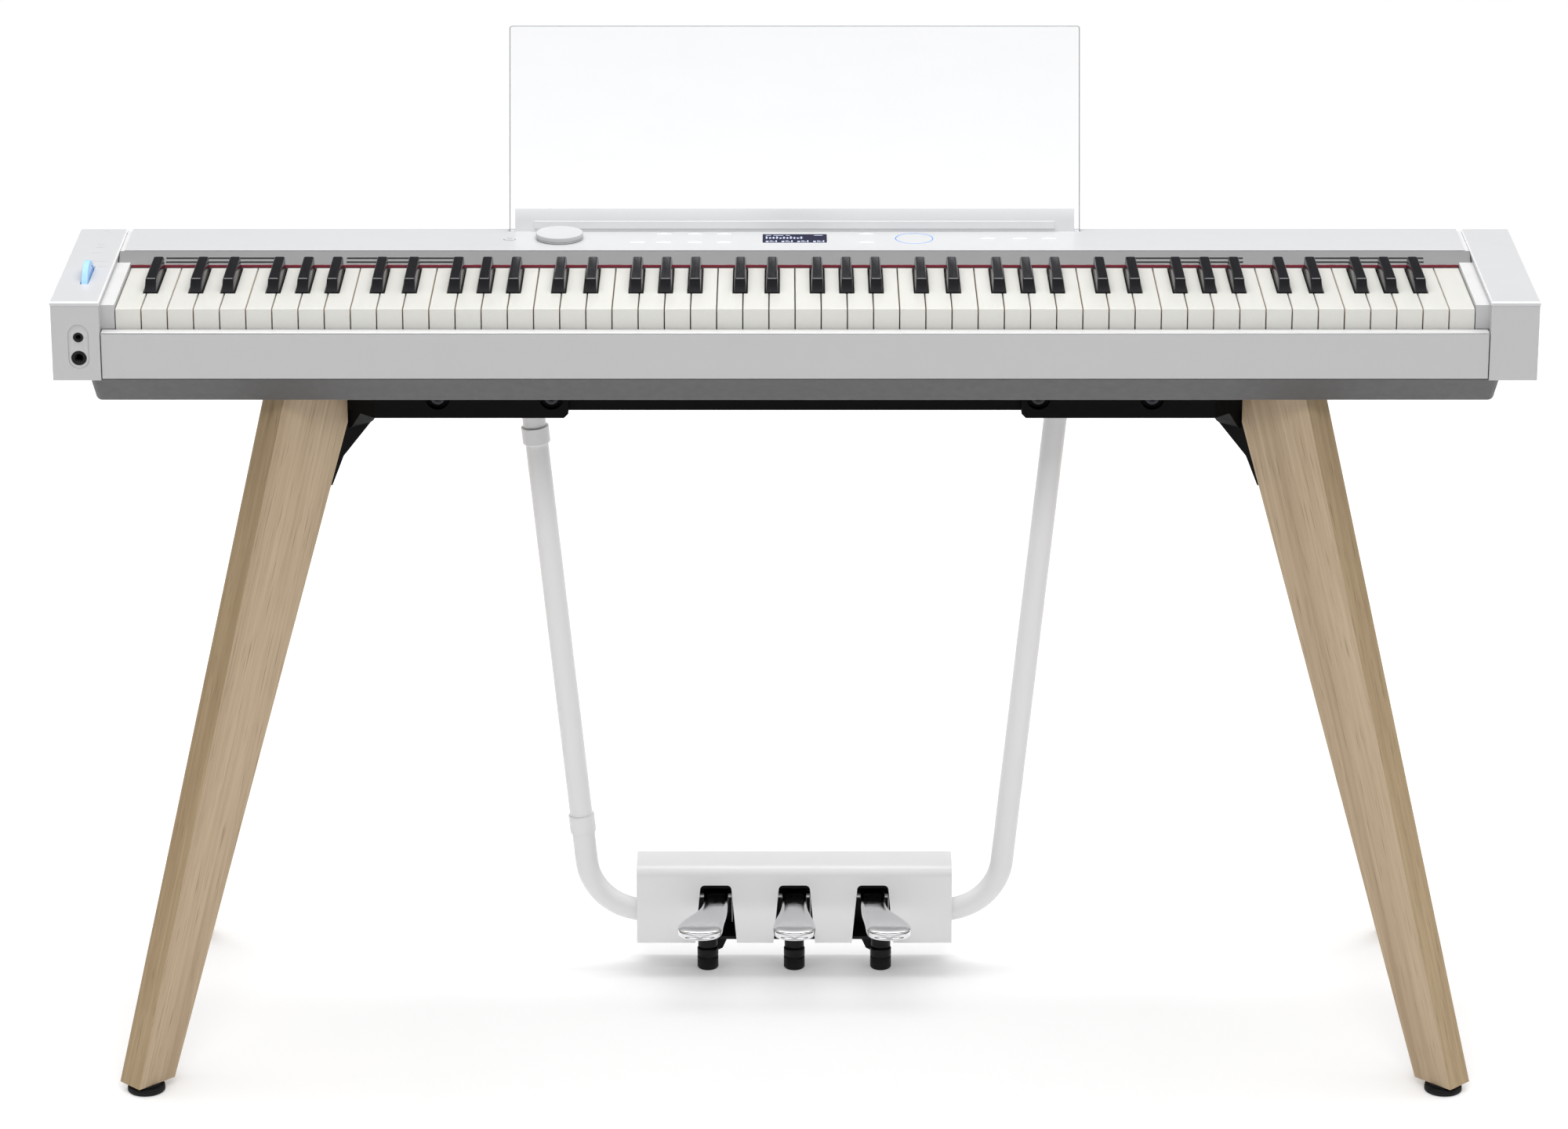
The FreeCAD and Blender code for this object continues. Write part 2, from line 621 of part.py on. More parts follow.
def leg_slab(outline, low_offset, high_offset):
    """Outline of (reach, height) points drawn out across the leg's diagonal plane."""
    face = face_of([leg_point(reach, height, low_offset) for reach, height in outline])
    step = (high_offset - low_offset) / math.sqrt(2)
    return face.extrude(Vec(step, step, 0))


def leg_outer(height):
    return LEG_OUTER_AT_0 - LEG_OUTER_SLOPE * height


def leg_inner(height):
    return LEG_INNER_AT_0 - LEG_INNER_SLOPE * height


def leg_bolts_one():
    """Two studs from the bracket into the leg."""
    middle = LEG_THICK / 2
    return [rod(leg_point(278, z, middle), leg_point(345, z, middle), 4) for z in (606, 624)]


def front_right_leg():
    shoulder_z = (LEG_INNER_AT_0 - LEG_SHOULDER) / LEG_INNER_SLOPE
    outline = [(leg_inner(LEG_BOTTOM), LEG_BOTTOM), (leg_outer(LEG_BOTTOM), LEG_BOTTOM),
               (leg_outer(LEG_TOP), LEG_TOP), (LEG_SHOULDER, LEG_TOP), (LEG_SHOULDER, shoulder_z)]
    return cut(leg_slab(outline, 0, LEG_THICK), *leg_bolts_one())


def foot():
    pad = rod((FOOT_X, -FOOT_Y, 0), (FOOT_X, -FOOT_Y, 5.5), FOOT_R)
    neck = rod((FOOT_X, -FOOT_Y, 5.5), (FOOT_X, -FOOT_Y, LEG_BOTTOM), 13)
    return fuse(pad, neck)


def gusset():
    """Web that follows the leg's inner edge down from the bracket."""
    toe, heel = 538.0, 563.0
    outline = [(LEG_SHOULDER, LEG_TOP), (LEG_SHOULDER, 595), (leg_inner(toe), toe),
               (leg_inner(toe) - 3, toe), (leg_inner(heel) - 7.5, heel), (274, 591),
               (262, 606), (262, LEG_TOP)]
    return leg_slab(outline, 1, LEG_THICK - 1)


def right_bracket():
    """Casting that joins the front and rear leg of one side and carries the instrument."""
    inner_end = [(BRACKET_INNER_X, BRACKET_BOTTOM + 4), (BRACKET_INNER_X + 4, BRACKET_BOTTOM)]
    tip = leg_point(LEG_SHOULDER, 0, LEG_THICK)
    corner = leg_point(LEG_SHOULDER, 0, 0)
    plan = [(BRACKET_INNER_X, -BRACKET_FRONT), (386, -BRACKET_FRONT), corner[:2], tip[:2],
            (tip[0], -tip[1]), (corner[0], -corner[1]), (386, BRACKET_FRONT),
            (BRACKET_INNER_X, BRACKET_FRONT)]
    plate = prism_z(plan, BRACKET_BOTTOM, CASE_Z)
    side = prism_y(inner_end + [(440, BRACKET_BOTTOM), (440, CASE_Z), (BRACKET_INNER_X, CASE_Z)],
                   -60, 60)
    plate = plate.common(side)
    pocket = box(216, 380, -40, 40, 614, CASE_Z + 1)
    posts = []
    shanks = []
    for x in CASE_SCREWS_X:
        for y in (-CASE_SCREWS_Y, CASE_SCREWS_Y):
            posts.append(rod((x, y, 612), (x, y, CASE_Z), 8))
            shanks.append(rod((x, y, 600), (x, y, CASE_Z + 1), 3))
    ear = box(238, 270, BRACKET_FRONT - 1, 116, 620, CASE_Z)
    body = fuse(cut(plate, pocket), gusset(), mirror_y(gusset()), ear, *posts)
    wells = []
    for x in BRACKET_WELLS_X:
        outer = rod((x, -60, WELL_Z), (x, -BRACKET_FRONT + WELL_DEPTH, WELL_Z), WELL_R)
        hole = rod((x, -60, WELL_Z), (x, -39, WELL_Z), 3)
        wells += [outer, hole, mirror_y(outer), mirror_y(hole)]
    bolts = leg_bolts_one()
    bolts += [mirror_y(bolt) for bolt in bolts]
    return cut(body, *wells, *shanks, *bolts, right_tube_solid(TUBE_R))


def bracket_screws():
    """Cap screws in the round wells of the brackets."""
    screws = []
    for x in BRACKET_WELLS_X:
        floor = -BRACKET_FRONT + WELL_DEPTH
        head = rod((x, floor - 4, WELL_Z), (x, floor, WELL_Z), 6.5)
        socket = rod((x, floor - 5, WELL_Z), (x, floor - 1.5, WELL_Z), 2.5)
        shank = rod((x, floor, WELL_Z), (x, -39.5, WELL_Z), 3)
        screws += four_corners(cut(fuse(head, shank), socket))
    return screws


def case_screws():
    """Screws from below that hold the instrument on the brackets."""
    screws = []
    for x in CASE_SCREWS_X:
        y = CASE_SCREWS_Y
        head = rod((x, y, BRACKET_BOTTOM - 4), (x, y, BRACKET_BOTTOM), 7)
        shank = rod((x, y, BRACKET_BOTTOM), (x, y, CASE_Z + 14), 3)
        screws += four_corners(fuse(head, shank))
    return screws


def cross_rail():
    """Steel channel between the brackets."""
    half = BRACKET_INNER_X
    channel = box(-half, half, -RAIL_HALF_DEPTH, RAIL_HALF_DEPTH, RAIL_BOTTOM, CASE_Z)
    inside = box(-half - 1, half + 1, -RAIL_HALF_DEPTH + RAIL_WALL, RAIL_HALF_DEPTH - RAIL_WALL,
                 RAIL_BOTTOM + RAIL_WALL, CASE_Z + 1)
    return cut(channel, inside)


# ---------------------------------------------------------------- pedal unit
def right_tube_path():
    """Straight down, one wide bend, then into the side of the housing."""
    top, corner, end = [Vec(x, TUBE_Y, z) for x, z in (TUBE_TOP, TUBE_CORNER, TUBE_END)]
    to_top = (top - corner).normalize()
    to_end = (end - corner).normalize()
    half_angle = to_top.getAngle(to_end) / 2
    tangent = TUBE_BEND_R / math.tan(half_angle)
    start, stop = corner + to_top * tangent, corner + to_end * tangent
    bisector = (to_top + to_end).normalize()
    centre = corner + bisector * (TUBE_BEND_R / math.sin(half_angle))
    middle = centre - bisector * TUBE_BEND_R
    edges = [Part.LineSegment(top, start).toShape(), Part.Arc(start, middle, stop).toShape(),
             Part.LineSegment(stop, end).toShape()]
    return Part.Wire(edges), top, to_top


def right_tube_solid(radius):
    path, top, to_top = right_tube_path()
    ring = Part.Wire(Part.makeCircle(radius, top, to_top))
    return path.makePipe(Part.Face(ring))


def right_pedal_tube():
    return cut(right_tube_solid(TUBE_R), right_tube_solid(TUBE_R - TUBE_WALL))


def tube_clips():
    """Two cable clips snapped on the left tube."""
    _, top, to_top = right_tube_path()
    clips = []
    for z_low, length, radius in ((536.0, 16.0, TUBE_R + 2.2), (139.0, 18.0, TUBE_R + 1.6)):
        start = top - to_top * ((top.z - z_low) / to_top.z)
        sleeve = Part.makeCylinder(radius, length, start, to_top)
        clips.append(mirror_x(cut(sleeve, right_tube_solid(TUBE_R))))
    return clips


def pedal_slot(x):
    """Open-bottomed opening in the housing's front, wider towards the floor."""
    low = HOUSING_BOTTOM - 1
    flare = (SLOT_BOTTOM_HALF - SLOT_TOP_HALF) / (SLOT_TOP - HOUSING_BOTTOM)
    low_half = SLOT_BOTTOM_HALF + flare
    outline = [(x - low_half, low), (x + low_half, low), (x + SLOT_TOP_HALF, SLOT_TOP),
               (x - SLOT_TOP_HALF, SLOT_TOP)]
    solid = prism_y(outline, HOUSING_FRONT_Y - 1, HOUSING_FRONT_Y + HOUSING_WALL + 1)
    corners = [edge for edge in solid.Edges if all(abs(v.Z - SLOT_TOP) < 0.01 for v in edge.Vertexes)
               and abs(edge.Vertexes[0].X - edge.Vertexes[1].X) < 0.01]
    return solid.makeFillet(SLOT_R, corners)


def pedal_housing():
    """White cover, open below, with three slots and a rounded front top edge."""
    def shell(inset, top_radius, half):
        block = box(-half, half, HOUSING_FRONT_Y + inset, HOUSING_REAR_Y - inset,
                    HOUSING_BOTTOM - inset, HOUSING_TOP - inset)
        edges = [e for e in block.Edges if e.Length > 100
                 and all(abs(v.Y - HOUSING_FRONT_Y - inset) < 0.01 for v in e.Vertexes)
                 and all(abs(v.Z - HOUSING_TOP + inset) < 0.01 for v in e.Vertexes)]
        return block.makeFillet(top_radius, edges)

    outer = shell(0, HOUSING_R, HOUSING_HALF)
    inner = shell(HOUSING_WALL, HOUSING_R - HOUSING_WALL, HOUSING_HALF - HOUSING_WALL)
    slots = [pedal_slot(x) for x in (-SLOT_PITCH, 0, SLOT_PITCH)]
    tubes = both_sides(right_tube_solid(TUBE_R))
    return cut(outer, inner, *slots, *tubes)


def pedal_base():
    """Black chassis in the housing: floor, back, roof with stops, bearings, adjuster bosses."""
    half = HOUSING_HALF - HOUSING_WALL - 0.4
    floor = box(-half, half, 83.0, 122.3, 33.0, 36.0)
    back = box(-half, half, 119.0, 122.3, 36.0, 100.0)
    roof = box(-half, half, 92.0, 119.0, 97.0, 100.0)
    bearings = [box(x - 3, x + 3, 99, 119, 36, 79) for x in (-114, -38, 38, 114)]
    stops = [box(x - 13, x + 13, 92, 98, 83.0, 97.0) for x in (-SLOT_PITCH, 0, SLOT_PITCH)]
    bosses = [rod((x, ADJUSTER_Y, 23.5), (x, ADJUSTER_Y, 33), 9.5)
              for x in (-ADJUSTER_X, 0, ADJUSTER_X)]
    hook = [(66, 33), (66, 24), (70, 15), (77, 11.5), (86, 11.5), (86, 33)]
    hooks = both_sides(prism_y(hook, 104, 110))
    sockets = [rod((x, ADJUSTER_Y, 20), (x, ADJUSTER_Y, 35), 4 + RUNNING_CLEARANCE)
               for x in (-ADJUSTER_X, 0, ADJUSTER_X)]
    body = fuse(floor, back, roof, *bearings, *stops, *bosses, *hooks)
    return cut(body, pedal_shaft(), *sockets, *both_sides(right_tube_solid(TUBE_R)))


def pedal_shaft():
    return rod((-117.5, PEDAL_PIVOT_Y, PEDAL_PIVOT_Z), (117.5, PEDAL_PIVOT_Y, PEDAL_PIVOT_Z),
               PEDAL_SHAFT_R)


def pedal_springs():
    """Torsion springs beside the pedal hubs, each a plain ring round the shaft."""
    rings = []
    for x in (-SLOT_PITCH, 0, SLOT_PITCH):
        low = (x + NECK_HALF + 3, PEDAL_PIVOT_Y, PEDAL_PIVOT_Z)
        high = (x + NECK_HALF + 13, PEDAL_PIVOT_Y, PEDAL_PIVOT_Z)
        rings.append(cut(rod(low, high, 7.0), rod(low, high, PEDAL_SHAFT_R + 0.6)))
    return rings


def adjuster(x):
    """Screw foot that holds the pedal unit off the floor."""
    foot_body = rod((x, ADJUSTER_Y, 0), (x, ADJUSTER_Y, 21.5), ADJUSTER_R)
    rim = [edge for edge in foot_body.Edges if edge.Vertexes[0].Z < 0.1 and edge.Vertexes[-1].Z < 0.1]
    foot_body = foot_body.makeFillet(1.5, rim)
    stem = rod((x, ADJUSTER_Y, 21.5), (x, ADJUSTER_Y, 34.5), 4)
    return fuse(foot_body, stem)


def pedal(x, flare_left, flare_right):
    """Chromed lever: a hub on the shaft, a neck through the slot and a wide flat toe."""
    def outline_edge(side, toe):
        """Points of one side of the plan outline, from the neck forwards."""
        gain = toe - NECK_HALF
        return [Vec(x + side * NECK_HALF, 78, 0), Vec(x + side * (NECK_HALF + gain * 0.05), 68, 0),
                Vec(x + side * (NECK_HALF + gain * 0.58), 46, 0), Vec(x + side * (toe - gain * 0.04), 26, 0),
                Vec(x + side * (toe - abs(gain) * 0.05 - 1), 16, 0),
                Vec(x + side * (toe - abs(gain) * 0.1 - 4), 8.6, 0)]

    left = outline_edge(-1, flare_left)
    right = outline_edge(1, flare_right)
    toe_tip = Vec(x + (flare_right - flare_left) / 2, 4.9, 0)
    curve = Part.BSplineCurve()
    curve.interpolate(left + [toe_tip] + right[::-1])
    rear = 118.0
    back = [Vec(x + NECK_HALF, 78, 0), Vec(x + NECK_HALF, rear, 0), Vec(x - NECK_HALF, rear, 0),
            Vec(x - NECK_HALF, 78, 0)]
    edges = [curve.toShape()] + [Part.LineSegment(a, b).toShape() for a, b in zip(back, back[1:])]
    plan = Part.Face(Part.Wire(Part.__sortEdges__(edges))).extrude(Vec(0, 0, 120))

    top = Part.BSplineCurve()
    top.interpolate([Vec(0, 101, 79.5), Vec(0, 84, 80), Vec(0, 66, 76.8), Vec(0, 44, 73.6),
                     Vec(0, 22, 72.8), Vec(0, 9, 72)])
    tip = Part.Arc(Vec(0, 9, 72), Vec(0, 4.8, 67.3), Vec(0, 9, 62.6))
    under = [Vec(0, 9, 62.6), Vec(0, 60, 62.6), Vec(0, 84, 64), Vec(0, 101, 64), Vec(0, 101, 79.5)]
    edges = [top.toShape(), tip.toShape()]
    edges += [Part.LineSegment(a, b).toShape() for a, b in zip(under, under[1:])]
    side = Part.Face(Part.Wire(Part.__sortEdges__(edges))).extrude(Vec(400, 0, 0))
    side.translate(Vec(-200, 0, 0))

    lever = plan.common(side)
    hub = rod((x - NECK_HALF, PEDAL_PIVOT_Y, PEDAL_PIVOT_Z), (x + NECK_HALF, PEDAL_PIVOT_Y, PEDAL_PIVOT_Z),
              PEDAL_HUB_R)
    bore = rod((x - 2 * NECK_HALF, PEDAL_PIVOT_Y, PEDAL_PIVOT_Z),
               (x + 2 * NECK_HALF, PEDAL_PIVOT_Y, PEDAL_PIVOT_Z), PEDAL_SHAFT_R + RUNNING_CLEARANCE)
    return cut(fuse(lever, hub), bore)


# ---------------------------------------------------------------- every node
def main():
    os.makedirs("parts", exist_ok=True)
    export("lower_case", lower_case())
    export("key_slip", key_slip())
    export("left_end_block", left_end_block())
    export("right_end_block", right_end_block())
    export("left_end_cap", left_end_cap())
    export("right_end_cap", right_end_cap())
    export("jack_plate", jack_plate())
    export("headphone_jacks", *headphone_jacks())
    export("pitch_wheel", pitch_wheel())
    export("top_panel", top_panel())
    export("grille_rail", grille_rail())
    export("felt_strip", felt_strip())
    export("display_window", display_window())
    export("touch_ring", ring_body(0.0))
    export("control_dial", control_dial())
    export("power_button", power_button())
    export("circuit_board", circuit_board())
    export("rear_cover", rear_cover())
    export("connector_plate", connector_plate())
    export("speakers", *speakers())
    export("music_rest", music_rest())
    export("music_rest_ledge", music_rest_ledge())
    export("key_chassis", key_chassis())
    export("key_pivot_rod", key_pivot_rod())
    for name, keys in keyboard().items():
        export(name, *keys)

    leg = front_right_leg()
    export("front_right_leg", leg)
    export("front_left_leg", mirror_x(leg))
    export("rear_right_leg", mirror_y(leg))
    export("rear_left_leg", mirror_x(mirror_y(leg)))
    export("leg_feet", *four_corners(foot()))
    bracket = right_bracket()
    export("right_bracket", bracket)
    export("left_bracket", mirror_x(bracket))
    export("bracket_screws", *bracket_screws())
    export("case_screws", *case_screws())
    export("leg_bolts", *[b for bolt in leg_bolts_one() for b in four_corners(bolt)])
    export("cross_rail", cross_rail())

    tube = right_pedal_tube()
    export("right_pedal_tube", tube)
    export("left_pedal_tube", mirror_x(tube))
    export("tube_clips", *tube_clips())
    export("pedal_housing", pedal_housing())
    export("pedal_base", pedal_base())
    export("pedal_shaft", pedal_shaft())
    export("pedal_springs", *pedal_springs())
    export("left_pedal", pedal(-SLOT_PITCH, 37.8, 7.5))
    export("centre_pedal", pedal(0, 21.4, 21.4))
    export("right_pedal", pedal(SLOT_PITCH, 7.5, 37.8))
    for name, x in (("left_adjuster", -ADJUSTER_X), ("centre_adjuster", 0.0),
                    ("right_adjuster", ADJUSTER_X)):
        export(name, adjuster(x))


main()
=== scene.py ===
"""Looks of a white digital piano on a splayed wooden stand with a triple pedal unit.

Metres, in the row frame: +X is the player's right, +Y points away from the player, +Z is up.
"""

import json
import math
import random

import bmesh
import bpy
from mathutils import Matrix, Vector


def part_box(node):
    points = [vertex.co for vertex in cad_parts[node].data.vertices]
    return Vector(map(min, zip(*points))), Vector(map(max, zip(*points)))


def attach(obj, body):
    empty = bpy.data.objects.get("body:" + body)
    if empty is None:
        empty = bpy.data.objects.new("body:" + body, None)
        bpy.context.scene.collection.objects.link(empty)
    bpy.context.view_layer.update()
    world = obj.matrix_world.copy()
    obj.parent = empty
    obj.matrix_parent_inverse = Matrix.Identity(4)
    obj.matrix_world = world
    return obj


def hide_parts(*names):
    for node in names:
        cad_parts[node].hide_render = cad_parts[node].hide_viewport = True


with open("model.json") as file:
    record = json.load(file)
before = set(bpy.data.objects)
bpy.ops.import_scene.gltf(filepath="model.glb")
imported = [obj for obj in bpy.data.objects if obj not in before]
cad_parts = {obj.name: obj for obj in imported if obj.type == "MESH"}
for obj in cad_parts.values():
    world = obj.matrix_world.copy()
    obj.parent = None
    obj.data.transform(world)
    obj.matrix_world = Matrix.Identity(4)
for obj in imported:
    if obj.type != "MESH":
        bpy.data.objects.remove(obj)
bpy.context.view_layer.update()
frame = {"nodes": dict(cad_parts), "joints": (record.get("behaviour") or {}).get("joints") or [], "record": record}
NODES = frame["nodes"]
MM = 0.001
ROOT = "case_and_stand"
WHITE_GROUPS = ("c", "d", "e", "f", "g", "a", "b")
BLACK_GROUPS = ("c_sharp", "d_sharp", "f_sharp", "g_sharp", "a_sharp")
WELD = 0.01 * MM
MARK_EDGE = 0.01 * MM                # softening of a printed mark's edges

CAMERA_PLACE = (-0.010, -4.918, 2.161)
CAMERA_TILT = 19.2                   # degrees below level
CAMERA_LENS = 127.8
FLOOR_HALF = 14
EYE_LEVEL_GREY = (0.10, 0.10, 0.104, 1)

PEDAL_PITCH = 76.2 * MM
PEDAL_NECK = 12.0 * MM               # half width of a lever where it leaves the housing
INNER_TOE = 7.5 * MM                 # how far an outer pedal's toe reaches towards the centre
CENTRE_TOE = 21.4 * MM               # half width of the centre pedal's toe
BLACK_CAP_LENGTH = 79.0 * MM
BLACK_ABOVE_WHITE = 12.0 * MM
KEY_STICK_HALF = 5.0 * MM
WHEEL_HALF = 3.2 * MM
BOARD_THICK = 1.6 * MM
BEVEL_ANGLE = math.radians(32)       # edges sharper than this are rounded
REST_THICK = 4.0 * MM
FROST_HEIGHT = 38.6 * MM
FROST_HALF = 262.0 * MM


# ---------------------------------------------------------------- camera, light and floor
def make_camera():
    camera = bpy.data.objects.new("camera", bpy.data.cameras.new("camera"))
    bpy.context.scene.collection.objects.link(camera)
    camera.location = CAMERA_PLACE
    camera.rotation_euler = (math.radians(90 - CAMERA_TILT), 0, 0)
    camera.data.sensor_width = 36
    camera.data.lens = CAMERA_LENS
    bpy.context.scene.camera = camera


def area_light(name, place, target, size, power, mirrored=True):
    """Softbox that points at its target; mirrored ones show up in glossy surfaces."""
    data = bpy.data.lights.new(name, "AREA")
    data.shape = "RECTANGLE"
    data.size, data.size_y = size
    data.energy = power
    light = bpy.data.objects.new(name, data)
    bpy.context.scene.collection.objects.link(light)
    light.location = place
    light.rotation_euler = (Vector(target) - Vector(place)).to_track_quat("-Z", "Y").to_euler()
    light.visible_camera = False
    light.visible_glossy = mirrored


def make_studio():
    """Room that is dark at eye level and white overhead, with three softboxes and a strip."""
    scene = bpy.context.scene
    scene.view_settings.view_transform = "Standard"
    world = bpy.data.worlds.new("studio")
    scene.world = world
    world.use_nodes = True
    tree = world.node_tree
    background = tree.nodes["Background"]
    direction = tree.nodes.new("ShaderNodeTexCoord")
    split = tree.nodes.new("ShaderNodeSeparateXYZ")
    ramp = tree.nodes.new("ShaderNodeValToRGB")
    tree.links.new(direction.outputs["Generated"], split.inputs[0])
    tree.links.new(split.outputs["Z"], ramp.inputs[0])
    tree.links.new(ramp.outputs[0], background.inputs["Color"])
    ramp.color_ramp.elements[0].position = 0.35
    ramp.color_ramp.elements[0].color = EYE_LEVEL_GREY
    ramp.color_ramp.elements[1].position = 0.85
    ramp.color_ramp.elements[1].color = (1, 1, 1, 1)
    background.inputs["Strength"].default_value = 1.0
    area_light("overhead_softbox", (0.0, 0.3, 3.4), (0, 0.1, 0.6), (4.0, 3.0), 46)
    area_light("overhead_strip", (0.0, 0.5, 3.35), (0, 0.1, 0.7), (4.0, 0.25), 20)
    area_light("front_softbox", (0.0, -3.0, 3.0), (0, 0, 0.55), (1.8, 1.0), 36, False)
    area_light("rear_softbox", (0.0, 4.6, 3.6), (0, 4.2, 0.0), (7.0, 4.0), 36, False)


def make_floor():
    bm = bmesh.new()
    bmesh.ops.create_grid(bm, x_segments=2, y_segments=2, size=FLOOR_HALF)
    mesh = bpy.data.meshes.new("studio_floor")
    bm.to_mesh(mesh)
    bm.free()
    floor = bpy.data.objects.new("studio_floor", mesh)
    bpy.context.scene.collection.objects.link(floor)
    paper = Paint("floor_paper", (0.90, 0.90, 0.90), 0.75, emission_strength=0.20)
    paper.set("Emission Color", (1.0, 1.0, 1.0, 1.0))
    paper.rough(paper.noise(9.0), 0.68, 0.82)
    mesh.materials.append(paper.material)


# ---------------------------------------------------------------- materials
class Paint:
    """One procedural material round a Principled shader; scales are per metre at rest."""

    def __init__(self, name, colour, roughness, **settings):
        self.material = bpy.data.materials.new(name)
        self.material.use_nodes = True
        self.tree = self.material.node_tree
        self.shader = self.tree.nodes["Principled BSDF"]
        self.set("Base Color", (*colour, 1.0))
        self.set("Roughness", roughness)
        for label, value in settings.items():
            self.set(label.replace("_", " ").title().replace("Ior", "IOR"), value)
        coordinates = self.add("ShaderNodeTexCoord")
        self.place = coordinates.outputs["Object"]
        self.normal = coordinates.outputs["Normal"]

    def set(self, label, value):
        self.shader.inputs[label].default_value = value

    def add(self, kind, *inputs, **attributes):
        node = self.tree.nodes.new(kind)
        for name, value in attributes.items():
            setattr(node, name, value)
        for socket, value in zip(node.inputs, inputs):
            self.feed(socket, value)
        return node

    def feed(self, socket, value):
        if isinstance(value, bpy.types.NodeSocket):
            self.tree.links.new(value, socket)
        elif value is not None:
            socket.default_value = value

    def turn(self, rotation):
        """Rotates the pattern's own axes, such as the grain of a leaning leg."""
        mapping = self.add("ShaderNodeMapping", self.place)
        mapping.inputs["Rotation"].default_value = rotation
        self.place = mapping.outputs[0]

    def noise(self, scale, stretch=(1, 1, 1), detail=3.0, sway=0.0):
        mapping = self.add("ShaderNodeMapping", self.place)
        mapping.inputs["Scale"].default_value = stretch
        node = self.add("ShaderNodeTexNoise", mapping.outputs[0])
        node.inputs["Scale"].default_value = scale
        node.inputs["Detail"].default_value = detail
        node.inputs["Distortion"].default_value = sway
        return node.outputs["Fac"]

    def math(self, operation, *values):
        return self.add("ShaderNodeMath", *values, operation=operation).outputs[0]

    def axis(self, letter, source=None):
        return self.add("ShaderNodeSeparateXYZ", source or self.place).outputs[letter]

    def spread(self, value, low, high, to_low=0.0, to_high=1.0):
        node = self.add("ShaderNodeMapRange")
        for label, fed in (("Value", value), ("From Min", low), ("From Max", high),
                           ("To Min", to_low), ("To Max", to_high)):
            self.feed(node.inputs[label], fed)
        return node.outputs[0]

    def mix(self, factor, first, second, blend="MIX"):
        node = self.add("ShaderNodeMix", data_type="RGBA", blend_type=blend)
        self.feed(node.inputs["Factor"], factor)
        for socket, value in ((node.inputs[6], first), (node.inputs[7], second)):
            self.feed(socket, (*value, 1.0) if isinstance(value, tuple) else value)
        return node.outputs[2]

    def colour(self, value):
        self.tree.links.new(value, self.shader.inputs["Base Color"])

    def rough(self, factor, low, high):
        self.tree.links.new(self.spread(factor, 0.3, 0.7, low, high), self.shader.inputs["Roughness"])

    def bump(self, height, depth):
        node = self.add("ShaderNodeBump")
        node.inputs["Strength"].default_value = 1.0
        node.inputs["Distance"].default_value = depth
        self.tree.links.new(height, node.inputs["Height"])
        self.tree.links.new(node.outputs[0], self.shader.inputs["Normal"])


def shade(colour, factor):
    return tuple(channel * factor for channel in colour)


def lacquer(name, colour, roughness, coat, grain=1400.0, depth=0.004 * MM, top=1.0, **settings):
    """Sprayed finish: faint orange peel, uneven gloss and tone; top lightens what faces up as painted overhead
    light.
    """
    paint = Paint(name, colour, roughness, coat_weight=coat, coat_roughness=0.06, **settings)
    cloud = paint.noise(3.5)
    base = paint.mix(cloud, shade(colour, 0.965), shade(colour, 1.02))
    # painted light: faces turned upwards are lightened by the factor top, standing in for the overhead lamps
    if top != 1.0:
        painted_light_facing = paint.spread(paint.axis("Z", paint.normal), 0.3, 0.85)
        base = paint.mix(painted_light_facing, base, shade(colour, top))
    paint.colour(base)
    paint.rough(paint.noise(55.0), roughness * 0.85, roughness * 1.2)
    paint.bump(paint.noise(grain, detail=2.0), depth)
    return paint.material


def moulded(name, colour, roughness, grain=2600.0, depth=0.02 * MM, **settings):
    """Moulded plastic or cast metal with a fine spark-eroded texture."""
    paint = Paint(name, colour, roughness, **settings)
    speck = paint.noise(grain, detail=2.0)
    paint.colour(paint.mix(speck, shade(colour, 0.86), shade(colour, 1.12)))
    paint.rough(paint.noise(120.0), roughness * 0.88, roughness * 1.12)
    paint.bump(speck, depth)
    return paint.material


def metal(name, colour, roughness, brush=(1, 1, 1), depth=0.003 * MM):
    """Bare or plated metal; brush stretches its fine scratches along one axis."""
    paint = Paint(name, colour, roughness, metallic=1.0)
    scratch = paint.noise(900.0, brush, detail=4.0)
    paint.rough(scratch, roughness * 0.7, roughness * 1.5)
    paint.bump(scratch, depth)
    return paint.material


